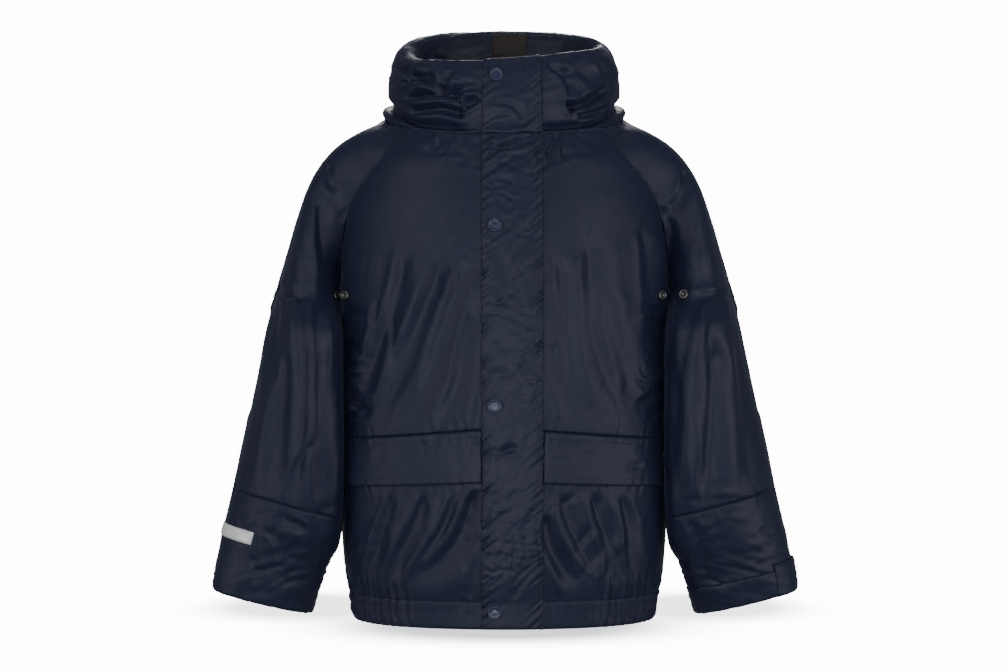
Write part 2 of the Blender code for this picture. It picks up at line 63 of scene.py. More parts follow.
# %% Sizes of the cut, in metres
CLOTH = 0.0010
CELL = {"front": 0.0023, "back": 0.0030, "sleeve": 0.0026, "collar": 0.0021, "middle": 0.0016}
COARSER = 1.0
ZIP_HALF = 0.005
FLAP_FREE = 0.024
FLAP_SEWN = 0.042
TAPE_HALF = 0.0145
NECK_HALF_WIDTH = 0.133
NECK_FRONT = 0.092
NECK_BACK = 0.084
NECK_Z = 0.012
NECK_TILT = 0.025
RIM_Z = 0.095
RIM_TILT = 0.026
RIM_LEAN = 0.05
RAGLAN_FRONT_X = 0.111
RAGLAN_BACK_X = 0.104
SQUARE = 0.62
FRONT_CELLS = 7
BACK_CELLS = 14
SLEEVE_CELLS = 14

Yoke = namedtuple("Yoke", "middle_z depth half_width x z")
FRONT_YOKE = [
    Yoke(-0.042, 0.099, 0.164, 0.134, -0.036),
    Yoke(-0.067, 0.104, 0.176, 0.155, -0.064),
    Yoke(-0.090, 0.108, 0.182, 0.168, -0.088),
    Yoke(-0.118, 0.112, 0.184, 0.176, -0.117),
    Yoke(-0.147, 0.115, 0.184, 0.1805, -0.145),
    Yoke(-0.169, 0.116, 0.184, 0.1830, -0.166),
]
BACK_YOKE = [
    Yoke(-0.002, 0.092, 0.158, 0.127, -0.006),
    Yoke(-0.040, 0.098, 0.174, 0.149, -0.040),
    Yoke(-0.072, 0.102, 0.181, 0.164, -0.072),
    Yoke(-0.106, 0.105, 0.184, 0.174, -0.106),
    Yoke(-0.141, 0.107, 0.184, 0.1800, -0.141),
    Yoke(-0.168, 0.107, 0.184, 0.1830, -0.166),
]
Ring = namedtuple("Ring", "front_z side_z half_width front back")
BODY = [
    Ring(-0.183, -0.182, 0.1840, 0.117, 0.107),
    Ring(-0.213, -0.214, 0.1840, 0.118, 0.107),
    Ring(-0.244, -0.248, 0.1838, 0.118, 0.106),
    Ring(-0.274, -0.282, 0.1836, 0.119, 0.106),
    Ring(-0.302, -0.314, 0.1835, 0.119, 0.106),
    Ring(-0.329, -0.344, 0.1835, 0.119, 0.106),
    Ring(-0.358, -0.370, 0.1832, 0.118, 0.106),
    Ring(-0.386, -0.395, 0.1828, 0.117, 0.105),
    Ring(-0.424, -0.430, 0.1820, 0.115, 0.104),
    Ring(-0.462, -0.465, 0.1805, 0.113, 0.102),
    Ring(-0.494, -0.495, 0.1770, 0.110, 0.100),
    Ring(-0.517, -0.517, 0.1705, 0.106, 0.097),
    Ring(-0.545, -0.545, 0.1665, 0.104, 0.095),
]
ARMPIT = 7
POCKET_SEAM = 12
FLAP_EDGE = 14
HEM_SEAM = 18
HEM = 19
SIDE = FRONT_CELLS + 2

Cap = namedtuple("Cap", "ridge_x ridge_z angle leave settle")
CAP = [
    Cap(0.160, -0.003, 28, 0.026, 0.036),
    Cap(0.186, -0.019, 18, 0.028, 0.038),
    Cap(0.206, -0.041, -5, 0.030, 0.044),
    Cap(0.220, -0.068, -35, 0.044, 0.052),
    Cap(0.231, -0.098, -62, 0.059, 0.060),
    Cap(0.241, -0.131, -78, 0.080, 0.066),
    Cap(0.250, -0.167, -86, 0.098, 0.072),
]
Section = namedtuple("Section", "outer_x outer_z inner_x inner_z half_depth forward inner_forward")
SLEEVE = [
    Section(0.2620, -0.212, 0.1770, -0.228, 0.074, 0.000, 0.034),
    Section(0.2715, -0.256, 0.1765, -0.276, 0.069, 0.001, 0.036),
    Section(0.2810, -0.300, 0.1755, -0.324, 0.063, 0.003, 0.040),
    Section(0.2910, -0.345, 0.1755, -0.374, 0.057, 0.005, 0.040),
    Section(0.3025, -0.398, 0.1775, -0.430, 0.049, 0.008, 0.034),
    Section(0.3115, -0.437, 0.1840, -0.466, 0.044, 0.010, 0.024),
    Section(0.3150, -0.451, 0.1918, -0.479, 0.042, 0.011, 0.018),
    Section(0.3200, -0.4765, 0.2010, -0.503, 0.039, 0.012, 0.010),
    Section(0.3220, -0.485, 0.2045, -0.512, 0.038, 0.013, 0.008),
    Section(0.3250, -0.512, 0.2130, -0.539, 0.036, 0.014, 0.000),
]
FOREARM_SEAM = 12
STRIP_TOP = 13
STRIP_END = 14
TAB_TOP = 15
CUFF_SEAM = 16
CUFF = 17

Profile = namedtuple("Profile", "up inward")
COLLAR = [
    Profile(0.33, 0.08),
    Profile(0.66, 0.17),
    Profile(0.88, 0.32),
    Profile(1.00, 0.60),
    Profile(0.93, 0.92),
    Profile(0.70, 1.05),
    Profile(0.35, 1.00),
    Profile(0.08, 0.62),
]
ROLL_TOP = 2
RIM_SEAM = 7
INSIDE = 10
print("body rows:", HEM + 1, "sleeve rows:", CUFF + 1, "collar rows:", INSIDE + 1)

# %% [markdown]
# ## The sewing net
#
# Each patch is a grid of points. A garment maker would drape or draft these panels, and a grid keeps what
# the panels do: rows go round, columns go down, and two panels that are sewn together share their edge.
# Rings of the body are cubic curves, a little squarer than an ellipse, because cloth hangs off the shoulders.

# %% Curves and panels
def bezier(p0, p1, p2, p3):
    t = np.linspace(0, 1, 400)[:, None]
    p0, p1, p2, p3 = (np.array(p, float) for p in (p0, p1, p2, p3))
    return (1 - t) ** 3 * p0 + 3 * (1 - t) ** 2 * t * p1 + 3 * (1 - t) * t * t * p2 + t ** 3 * p3


def smooth_step(value):
    value = np.clip(value, 0, 1)
    return value * value * (3 - 2 * value)


def evenly(line, count):
    along = np.concatenate([[0], np.cumsum(np.linalg.norm(np.diff(line, axis=0), axis=1))])
    at = np.linspace(0, along[-1], count + 1)
    return np.stack([np.interp(at, along, line[:, k]) for k in range(3)], axis=1)


def neck_points(turns):
    depth = np.where(np.cos(turns) > 0, NECK_FRONT, NECK_BACK)
    height = NECK_Z - NECK_TILT * np.cos(turns)
    return np.stack([NECK_HALF_WIDTH * np.sin(turns), -depth * np.cos(turns), height], axis=1)


def ring_curve(middle_z, depth, half_width, side_z):
    line = bezier((0, -depth), (SQUARE * half_width, -depth), (half_width, -SQUARE * depth), (half_width, 0))
    return np.hstack([line, middle_z + (side_z - middle_z) * line[:, :1] / half_width])


def yoke_curve(row, side):
    side_z = row.middle_z + (row.z - row.middle_z) * row.half_width / row.x
    line = ring_curve(row.middle_z, side * row.depth, row.half_width, side_z)
    end = [[row.x, np.interp(row.x, line[:, 0], line[:, 1]), row.z]]
    return np.vstack([line[line[:, 0] < row.x], end])


def front_row(line):
    edges = [ZIP_HALF, FLAP_FREE, FLAP_SEWN]
    near = [[x, np.interp(x, line[:, 0], line[:, 1]), np.interp(x, line[:, 0], line[:, 2])] for x in edges]
    return np.vstack([near[:-1], evenly(np.vstack([near[-1:], line[line[:, 0] > FLAP_SEWN]]), FRONT_CELLS)])


def front_panel():
    raglan = math.asin(RAGLAN_FRONT_X / NECK_HALF_WIDTH)
    rows = [front_row(neck_points(np.linspace(0, raglan, 400)))]
    rows += [front_row(yoke_curve(row, 1)) for row in FRONT_YOKE]
    rows += [front_row(ring_curve(r.front_z, r.front, r.half_width, r.side_z)) for r in BODY]
    return np.array(rows)


def back_panel():
    start = math.pi - math.asin(RAGLAN_BACK_X / NECK_HALF_WIDTH)
    rows = [evenly(neck_points(np.linspace(start, 2 * math.pi - start, 800)), BACK_CELLS)]
    curves = [yoke_curve(row, -1) for row in BACK_YOKE]
    curves += [ring_curve(r.side_z, -r.back, r.half_width, r.side_z) for r in BODY]
    rows += [evenly(np.vstack([c[::-1], c[1:] * [-1, 1, 1]]), BACK_CELLS) for c in curves]
    return np.array(rows)


def cap_half(row, seam, side):
    turn = math.radians(row.angle)
    leave = seam[:2] + np.array([math.cos(turn), side * math.sin(turn)]) * row.leave
    line = bezier(seam[:2], leave, (row.ridge_x, -side * row.settle), (row.ridge_x, 0))
    out = (line[:, :1] - seam[0]) / (row.ridge_x - seam[0])
    return evenly(np.hstack([line, seam[2] + (row.ridge_z - seam[2]) * out]), SLEEVE_CELLS // 2)


def sleeve_ring(section):
    outer = np.array([section.outer_x, -section.forward, section.outer_z])
    inner = np.array([section.inner_x, -section.forward - section.inner_forward, section.inner_z])
    angles = np.linspace(math.pi, 0, 200)
    across = np.sign(np.cos(angles)) * np.abs(np.cos(angles)) ** 0.8
    level = (outer + inner) / 2 + np.outer(across, (outer - inner) / 2)
    deep = np.outer(np.sin(angles) ** 0.9, [0, section.half_depth, 0])
    front = evenly(level - deep, SLEEVE_CELLS // 2)
    behind = evenly(level + deep, SLEEVE_CELLS // 2)
    return np.vstack([front, behind[-2::-1]])


def shoulder_line():
    start = math.asin(RAGLAN_FRONT_X / NECK_HALF_WIDTH)
    end = math.pi - math.asin(RAGLAN_BACK_X / NECK_HALF_WIDTH)
    half = SLEEVE_CELLS // 2 + 1
    return neck_points(np.concatenate([
        np.linspace(start, math.pi / 2, half),
        np.linspace(math.pi / 2, end, half)[1:],
    ]))


def sleeve_panel(front, back):
    rows = [shoulder_line()]
    for number, row in enumerate(CAP, 1):
        before = cap_half(row, front[number, -1], 1)
        rows.append(np.vstack([before, cap_half(row, back[number, 0], -1)[-2::-1]]))
    rows += [sleeve_ring(section) for section in SLEEVE]
    return np.array(rows)


def collar_panel(neckline):
    depth = np.where(neckline[:, 1] < 0, NECK_FRONT, NECK_BACK)
    out = np.stack([neckline[:, 0] / NECK_HALF_WIDTH ** 2, neckline[:, 1] / depth ** 2, 0 * depth], axis=1)
    out /= np.linalg.norm(out, axis=1, keepdims=True)
    turn = np.degrees(np.arctan2(np.abs(neckline[:, 0]) / NECK_HALF_WIDTH, -neckline[:, 1] / depth))
    beside = smooth_step((turn - 42) / 40)
    roll = 0.004 + 0.013 * beside
    thick = 0.027 + 0.012 * beside - 0.005 * smooth_step((turn - 110) / 60)
    up = np.array([0, 0, 1.0])
    facing_front = np.cos(np.radians(turn))
    rim = RIM_Z - RIM_TILT * facing_front + RIM_LEAN * neckline[:, 0] * smooth_step(1.6 * facing_front)
    height = rim - neckline[:, 2] - roll
    rows = [
        neckline,
        neckline + np.outer(roll / 2, up) + out * (0.0035 * beside)[:, None],
        neckline + np.outer(roll, up) - out * (0.03 * thick)[:, None],
    ]
    for place in COLLAR:
        rows.append(neckline + np.outer(roll + place.up * height, up) - out * (place.inward * thick)[:, None])
    return np.array(rows)


front_left = front_panel()
front_right = front_left * [-1, 1, 1]
back = back_panel()
sleeve_left = sleeve_panel(front_left, back)
sleeve_right = sleeve_left * [-1, 1, 1]
neckline = np.vstack([
    front_left[0],
    sleeve_left[0, 1:],
    back[0, 1:],
    sleeve_right[0, -2::-1],
    front_right[0, -2::-1],
])
collar = collar_panel(neckline)
middle = np.vstack([
    collar[:0:-1][:, [-2, -1, 0, 1, 2]],
    np.stack([front_right[:, 1], front_right[:, 0], front_left[:, 0], front_left[:, 1],
              front_left[:, 2]], axis=1),
])
print("sleeve", sleeve_left.shape, "collar", collar.shape, "middle", middle.shape)

# %% [markdown]
# ## Fine cloth
#
# The grids are filled in with smooth curves through their points until a cell is two or three millimetres
# wide, fine enough for a pucker along a seam. Where two panels meet without a bend, each knows the other's
# next point, so the cloth runs on smoothly through the side seam and round the underarm.

# %% Filling in a patch
def unit(vectors):
    return vectors / np.maximum(np.linalg.norm(vectors, axis=-1, keepdims=True), 1e-12)


def filled(grid, steps, before=None, after=None):
    """The grid with steps[k] cells in place of its k-th cell, counted down the first axis."""
    first = 2 * grid[0] - grid[1] if before is None else before
    last = 2 * grid[-1] - grid[-2] if after is None else after
    points = np.concatenate([first[None], grid, last[None]])
    chord = np.linalg.norm(np.diff(points, axis=0), axis=-1, keepdims=True) + 1e-9
    slope = np.diff(points, axis=0) / chord
    slope = (slope[:-1] * chord[1:] + slope[1:] * chord[:-1]) / (chord[:-1] + chord[1:])
    rows = []
    for k, count in enumerate(steps):
        t = (np.arange(count) / count).reshape(-1, 1, 1)
        h00, h10 = 2 * t ** 3 - 3 * t ** 2 + 1, t ** 3 - 2 * t ** 2 + t
        h01, h11 = 3 * t ** 2 - 2 * t ** 3, t ** 3 - t ** 2
        size = chord[k + 1]
        rows.append(h00 * grid[k] + h10 * size * slope[k] + h01 * grid[k + 1] + h11 * size * slope[k + 1])
    return np.concatenate(rows + [grid[-1:]])


def steps_of(grid, cell):
    sizes = np.linalg.norm(np.diff(grid, axis=0), axis=-1)
    return np.maximum(1, np.round(sizes.mean(axis=1) / cell)).astype(int)


class Patch:
    """A finely filled grid, its outward directions, and where the net's rows and columns are in it."""

    def __init__(self, kind, grid, outward, before=None, after=None):
        turned = grid.transpose(1, 0, 2)
        cell = CELL[kind] * COARSER
        columns = steps_of(turned, cell)
        wide = filled(turned, columns, before, after).transpose(1, 0, 2)
        rows = steps_of(grid, cell)
        self.kind = kind
        self.place = filled(wide, rows)
        self.row = np.concatenate([[0], np.cumsum(rows)])
        self.column = np.concatenate([[0], np.cumsum(columns)])
        normal = np.cross(np.gradient(self.place, axis=0), np.gradient(self.place, axis=1))
        self.normal = unit(normal) * outward
        self.down = self.run(0)
        self.across = self.run(1)
        self.relief = np.zeros(self.place.shape[:2])
        self.free = np.ones(self.place.shape[:2])

    def run(self, axis):
        steps = np.linalg.norm(np.diff(self.place, axis=axis), axis=-1)
        pad = [(0, 0), (0, 0)]
        pad[axis] = (1, 0)
        return np.pad(np.cumsum(steps, axis=axis), pad)

    def surface(self, lift=0.0):
        return self.place + self.normal * (self.relief * self.free + lift)[..., None]


def beyond(panel, other):
    """The point past a panel's side edge: the next panel's below the armpit, or straight on above it."""
    straight = 2 * panel[:, -1] - panel[:, -2]
    return np.where((np.arange(len(panel)) >= ARMPIT)[:, None], other, straight)


def beyond_both(panel, before, after):
    return beyond(panel[:, ::-1], before), beyond(panel, after)


net = {
    "front_left": Patch("front", front_left, 1, None, beyond(front_left, back[:, 1])),
    "front_right": Patch("front", front_right, -1, None, beyond(front_right, back[:, -2])),
    "back": Patch("back", back, 1, *beyond_both(back, front_left[:, -2], front_right[:, -2])),
    "sleeve_left": Patch("sleeve", sleeve_left, 1,
                         *beyond_both(sleeve_left, sleeve_left[:, -2], sleeve_left[:, 1])),
    "sleeve_right": Patch("sleeve", sleeve_right, -1,
                          *beyond_both(sleeve_right, sleeve_right[:, -2], sleeve_right[:, 1])),
    "collar": Patch("collar", collar, -1),
    "middle": Patch("middle", middle, 1),
}
for name, patch in net.items():
    print(name, "filled to", patch.place.shape[:2])

# %% [markdown]
# The sleeves hang against the body. A sleeve that is pressed on something takes its shape there, so each
# point that would reach into the body is moved out to just clear of it, and the folds are kept off that side.

# %% Sleeves lying against the body
SIDE_CLEARANCE = 0.0010
FOLDS_FREE_AT = 0.014
outline = ring_curve(0, 1, 1, 0)


def body_side(y, z):
    """How far out the body's cloth is at each y and z."""
    levels = [-ring.side_z for ring in BODY]
    half_width = np.interp(-z, levels, [ring.half_width for ring in BODY])
    front = np.interp(-z, levels, [ring.front for ring in BODY])
    depth = np.where(y < 0, front, np.interp(-z, levels, [ring.back for ring in BODY]))
    return half_width * np.interp(-np.abs(y) / depth, outline[:, 1], outline[:, 0], left=0)


for name in ("sleeve_left", "sleeve_right"):
    patch = net[name]
    x, y, z = patch.place.transpose(2, 0, 1)
    gap = np.where(z < BODY[0].side_z, np.abs(x) - body_side(y, z), 1.0)
    hanging = smooth_step((BODY[0].side_z - z) / 0.03)
    patch.place[..., 0] += np.sign(x) * hanging * np.maximum(SIDE_CLEARANCE - gap, 0)
    patch.free = smooth_step((gap - SIDE_CLEARANCE) / FOLDS_FREE_AT)
    print(name, "pressed in by mm", round(1000 * float(np.maximum(SIDE_CLEARANCE - gap, 0).max()), 1))

# %% [markdown]
# ## Folds
#
# Coated nylon is light and a little stiff, so it falls in long soft folds from the chest and buckles into
# short sharp ones where a seam or an armpit holds it. Each main fold is given one by one as a trough between
# two raised lips, seen from the front or the back, with its ends, how far it bows, its width and its depth.
# One lip is steeper than the other, as on real cloth, and a negative depth makes a ridge.

# %% How a fold is pressed into a patch
Crease = namedtuple("Crease", "x0 z0 x1 z1 bow width depth")


def wave(along, length, seed):
    """An uneven ripple between -1 and 1, never the same twice along a seam."""
    rng = np.random.default_rng(seed)
    total = 0
    for share, size in ((0.55, 0.4), (0.83, 0.8), (1.0, 1.0), (1.37, 0.8), (1.9, 0.4)):
        total = total + size * np.sin(2 * math.pi * share * along / length + rng.uniform(0, 2 * math.pi))
    return total / 2.2


def press(across, up, folds):
    """How far the creases move the cloth out at each point, in metres."""
    total = np.zeros_like(across)
    for number, crease in enumerate(folds):
        run = np.array([crease.x1 - crease.x0, crease.z1 - crease.z0])
        length = np.linalg.norm(run)
        run = run / length
        away = np.stack([across - crease.x0, up - crease.z0])
        share = (away[0] * run[0] + away[1] * run[1]) / length
        close = (share > -0.05) & (share < 1.05)
        side = away[0] * run[1] - away[1] * run[0] + crease.bow * 4 * share * (1 - share)
        side = side + 0.25 * crease.width * np.sin(7 * share + number)
        reach = crease.width * (0.65 + 0.7 * np.clip(share, 0, 1))
        q = side / reach
        q = np.where(q > 0, q * 1.45, q * 0.8)
        lips = (0.55 * np.exp(-np.abs((q - 1.7) / 0.85) ** 1.6)
                + 0.45 * np.exp(-np.abs((q + 1.7) / 0.9) ** 1.6))
        shape = lips - np.exp(-np.abs(q) ** 1.5)
        ends = smooth_step(share / 0.14) * smooth_step((1 - share) / 0.3)
        total += np.where(close, crease.depth * shape * ends, 0)
    return total


def uneven(along, beside, long, wide, seed):
    """A smooth surface that is never the same twice, mostly between -1 and 1, drawn out along its folds."""
    rng = np.random.default_rng(seed)
    total = 0
    for _ in range(22):
        turns = along * rng.normal() * 2.4 / long + beside * rng.normal() * 2.4 / wide
        total = total + np.cos(turns + rng.uniform(0, 2 * math.pi))
    return total * 0.15


Crush = namedtuple("Crush", "kind top bottom lean wide long depth seed")
CRUSHED = [
    Crush("front", 0.120, 0.345, 80, 0.017, 0.170, 0.0013, 101),
    Crush("front", 0.180, 0.345, 76, 0.009, 0.060, 0.0005, 102),
    Crush("front", 0.385, 0.580, 82, 0.012, 0.140, 0.0012, 103),
    Crush("front", 0.345, 0.400, 70, 0.010, 0.030, 0.0006, 104),
    Crush("front", -0.060, 0.060, 70, 0.012, 0.026, 0.0010, 105),
    Crush("sleeve", 0.140, 0.560, 86, 0.015, 0.110, 0.0022, 106),
    Crush("sleeve", 0.500, 0.720, 20, 0.011, 0.035, 0.0018, 107),
    Crush("sleeve", -0.060, 0.160, 60, 0.012, 0.035, 0.0009, 108),
    Crush("back", 0.070, 0.620, 84, 0.018, 0.140, 0.0022, 109),
    Crush("back", 0.070, 0.620, 70, 0.010, 0.050, 0.0008, 110),
    Crush("collar", 0.012, 0.300, 14, 0.011, 0.060, 0.0020, 111),
    Crush("collar", 0.012, 0.300, 60, 0.009, 0.024, 0.0007, 112),
    Crush("middle", -0.100, 0.900, 25, 0.010, 0.026, 0.0006, 113),
    Crush("middle", -0.100, 0.900, 115, 0.009, 0.022, 0.0004, 114),
]


def crushed(patch, crush):
    """Crisp small crests and valleys that come and go, as thin coated cloth keeps them."""
    turn = math.radians(crush.lean)
    across, down = patch.across, patch.down
    along = across * math.cos(turn) + down * math.sin(turn)
    beside = across * math.sin(turn) - down * math.cos(turn)
    crest, valley = (uneven(along, beside, crush.long, crush.wide, crush.seed + k) for k in (0, 1000))
    strength = smooth_step(0.65 + 0.9 * uneven(along, beside, 0.15, 0.09, crush.seed + 2000))
    ends = smooth_step((down - crush.top) / 0.05) * smooth_step((crush.bottom - down) / 0.04)
    return crush.depth * ends * strength * (np.sqrt(valley ** 2 + 0.01) - np.sqrt(crest ** 2 + 0.01))


def scattered(count, x, z, reach_x, reach_z, angle, spread, length, width, depth, seed):
    """Short creases strewn over a place, leaning about the same way."""
    rng = np.random.default_rng(seed)
    found = []
    for _ in range(count):
        middle_x = x + reach_x * rng.uniform(-1, 1)
        middle_z = z + reach_z * rng.uniform(-1, 1)
        turn = math.radians(angle + rng.normal(0, spread))
        half = length * rng.uniform(0.35, 0.75)
        dx, dz = half * math.cos(turn), half * math.sin(turn)
        found.append(Crease(middle_x - dx, middle_z - dz, middle_x + dx, middle_z + dz,
                            rng.normal(0, 0.12) * half, width * rng.uniform(0.7, 1.3),
                            depth * rng.uniform(0.4, 1.2) * rng.choice([1, 1, -0.8])))
    return found


# %% Where the folds are
def creases(*rows):
    """Creases from rows in millimetres: both ends' x and z, then the bow, the width and the depth."""
    return [Crease(*(number / 1000 for number in row)) for row in rows]


FRONT_FOLDS = creases(
    # the wearer's right: long falls from the chest to the pocket
    (-108, -130, -160, -318, 6, 10, 5),
    (-70, -136, -136, -325, 8, 12, 6),
    (-44, -150, -104, -322, 6, 10, 4.5),
    (-34, -200, -70, -328, 4, 8, 3.5),
    (-135, -190, -160, -290, 3, 7, 3),
    (-118, -210, -128, -318, 2, 7, 2.5),
    # the wearer's left
    (60, -140, 92, -322, -8, 11, 3),
    (88, -120, 132, -326, -12, 14, 3.6),
    (146, -112, 158, -250, 10, 10, 3.6),
    (52, -235, 74, -325, -4, 9, 2.4),
    (116, -180, 150, -322, -8, 10, 2.2),
    # under the pocket flaps
    (-26, -392, -92, -508, 4, 10, 6.5),
    (-52, -398, -108, -508, 4, 7, 4),
    (-86, -396, -128, -505, 3, 8, 4.5),
    (-122, -396, -150, -500, 3, 7, 3.5),
    (42, -420, 76, -510, -4, 9, 6),
    (62, -396, 100, -505, -3, 9, 4),
    (98, -396, 126, -505, -4, 9, 4.5),
    (128, -400, 146, -500, -3, 7, 3.5),
    # drawn up to the collar
    (55, -12, 46, -44, 0, 4, 3),
    (62, -14, 66, -44, 0, 4, 1.6),
    (74, -10, 104, -26, 0, 5, 1.8),
    (-30, -18, -50, -50, 2, 5, 1.6),
    (-60, -12, -90, -36, 2, 6, 1.6),
    # held in beside the armpits
    (-171, -218, -150, -200, 2, 6, 2.5),
    (-174, -242, -148, -252, 2, 5, 2.5),
    (-172, -268, -150, -262, 2, 5, 2),
    (-174, -292, -146, -322, 3, 7, 3.5),
    (-172, -284, -160, -318, 2, 5, 2.5),
    (172, -206, 150, -190, 2, 6, 2.5),
    (174, -278, 146, -318, -3, 7, 3),
    (174, -300, 158, -322, -2, 6, 2.8),
    # the sleeves: crushed under the shoulder, then long falls to the forearm
    (-197, -42, -181, -74, -3, 6, 3),
    (-206, -80, -196, -180, 4, 8, 4),
    (-256, -176, -196, -192, -4, 6, 4.5),
    (-246, -184, -240, -400, -6, 12, 3.6),
    (-221, -162, -221, -410, 1, 7, 4.2),
    (-202, -190, -197, -440, 0, 8, 5),
    (-238, -240, -262, -420, 4, 11, 3),
    (-206, -340, -236, -420, -4, 6, 3),
    (-215, -440, -240, -425, 2, 6, 3),
    (-275, -470, -272, -505, 1, 5, 2),
    (-262, -440, -240, -470, 3, 7, 1.6),
    (199, -46, 181, -100, 4, 6, 4),
    (181, -100, 190, -160, -3, 6, 2.5),
    (243, -178, 196, -190, 4, 6, 4),
    (236, -182, 226, -290, -8, 8, 4),
    (216, -195, 192, -420, -6, 11, -4),
    (234, -230, 218, -430, -4, 9, 3.6),
    (256, -230, 276, -410, -4, 11, 2.8),
    (200, -430, 222, -500, 2, 7, 3),
)
BACK_FOLDS = creases(
    (-60, -120, -118, -400, 8, 13, 5.5),
    (-20, -150, -52, -470, 6, 11, 4.5),
    (-106, -150, -154, -420, 6, 10, 4.5),
    (34, -130, 62, -440, -6, 12, 5),
    (82, -115, 132, -430, -8, 12, 5.5),
    (118, -140, 158, -380, -5, 9, 4),
    (4, -330, 12, -505, 4, 9, 4),
    (-86, -400, -106, -505, 3, 8, 4),
    (92, -410, 104, -505, -3, 8, 3.5),
    (-140, -20, -100, -60, 4, 7, 2),
    (128, -16, 86, -58, 4, 7, 2),
    (-204, -90, -194, -190, 4, 8, 4),
    (-252, -180, -196, -196, -4, 6, 4),
    (-246, -190, -226, -400, -5, 10, 5.5),
    (-216, -200, -244, -400, 4, 8, 3.5),
    (206, -80, 190, -180, 3, 8, 4),
    (250, -186, 198, -196, 4, 6, 4),
    (236, -196, 214, -380, -6, 10, 5),
    (256, -240, 270, -410, -4, 10, 3),
)
SIDE_FOLDS = creases(
    # the outside of each sleeve, seen from that side: forwards is x
    (-30, -110, -12, -300, 6, 12, 4),
    (34, -120, 10, -330, -6, 12, 4.5),
    (0, -250, -14, -400, 4, 10, 3),
    (-45, -215, 30, -235, 6, 8, 2.5),
    (-30, -330, 36, -310, 6, 9, 2),
)
COLLAR_FOLDS = creases(
    # the wearer's right
    (-118, 42, -62, 30, 12, 5, 4),
    (-62, 30, -54, 56, 6, 5, 3.5),
    (-108, 50, -72, 46, 6, 4.5, 2.2),
    (-112, 28, -30, 16, 8, 6, 5),
    (-104, 14, -36, 6, 3, 5.5, 4),
    (-56, 26, -26, 40, 2, 5, 3),
    (-48, 4, -26, 30, 2, 5, 4),
    (-120, 68, -96, 50, 2, 5, 3),
    # the wearer's left
    (68, 14, 122, 46, -4, 5.5, 5.5),
    (68, 26, 76, 8, 0, 4.5, 3.5),
    (48, 66, 76, 30, 3, 5.5, 2.8),
    (60, 56, 104, 44, 4, 8, 2.2),
    (80, 6, 118, 24, -3, 5.5, 3),
    (100, 70, 122, 46, 2, 6, 2.5),
)
COLLAR_BACK_FOLDS = creases(
    (-110, 50, -20, 58, 8, 8, 4),
    (-30, 80, 60, 62, 6, 8, 3.5),
    (20, 52, 112, 48, 8, 8, 4),
    (-80, 90, -50, 60, 3, 6, 3),
    (76, 86, 96, 58, 3, 6, 3),
)
CRUMPLED = [
    scattered(16, -0.162, -0.270, 0.014, 0.060, 10, 25, 0.022, 0.0035, 0.0014, 3),
    scattered(16, 0.162, -0.270, 0.014, 0.060, -10, 25, 0.022, 0.0035, 0.0014, 4),
    scattered(18, 0.000, -0.030, 0.090, 0.022, 30, 35, 0.030, 0.0040, 0.0008, 5),
    scattered(26, -0.240, -0.450, 0.055, 0.045, 10, 45, 0.030, 0.0045, 0.0010, 6),
    scattered(20, 0.245, -0.440, 0.055, 0.040, 10, 45, 0.030, 0.0045, 0.0009, 7),
    scattered(26, 0.000, -0.220, 0.150, 0.110, 75, 18, 0.070, 0.0060, 0.0007, 8),
    scattered(30, 0.000, -0.450, 0.160, 0.050, 80, 18, 0.050, 0.0050, 0.0010, 9),
    scattered(18, 0.000, -0.357, 0.160, 0.022, 70, 30, 0.026, 0.0045, 0.0008, 10),
]
by_hand = FRONT_FOLDS + BACK_FOLDS + SIDE_FOLDS + COLLAR_FOLDS + COLLAR_BACK_FOLDS
print("folds placed by hand:", len(by_hand))

# %% [markdown]
# ## Puckers
#
# Sewing thread is shorter than the cloth that it holds, so a seam puckers, and elastic gathers a hem far
# more. Both are ripples that run along a line and die away from it.

# %% Pressing the folds and puckers in
def facing(patch, direction):
    return smooth_step(((patch.normal * direction).sum(-1) + 0.1) / 0.45)


def pucker(patch, far, along, size, reach, length, seed, lean=0.0):
    """Ripples that die away with the distance far from a seam."""
    strength = 0.55 + 0.75 * wave(along, 4.3 * length, seed + 500)
    ripple = wave(along + lean * far, length, seed)
    patch.relief += size * strength * np.exp(-(np.abs(far) / reach) ** 1.3) * ripple


def hold_edges(patch, first_row, columns):
    """Keep the cloth at its seams where the net has it, so that two panels meet there."""
    reach = 0.0035
    held = [from_column(patch, column) for column in columns] + ([patch.down] if first_row else [])
    for far in held:
        patch.free *= smooth_step(np.abs(far) / reach)


def from_row(patch, row):
    return patch.down - patch.down[patch.row[row]]


def from_column(patch, column):
    here = patch.column[column]
    return patch.across - patch.across[:, here:here + 1]


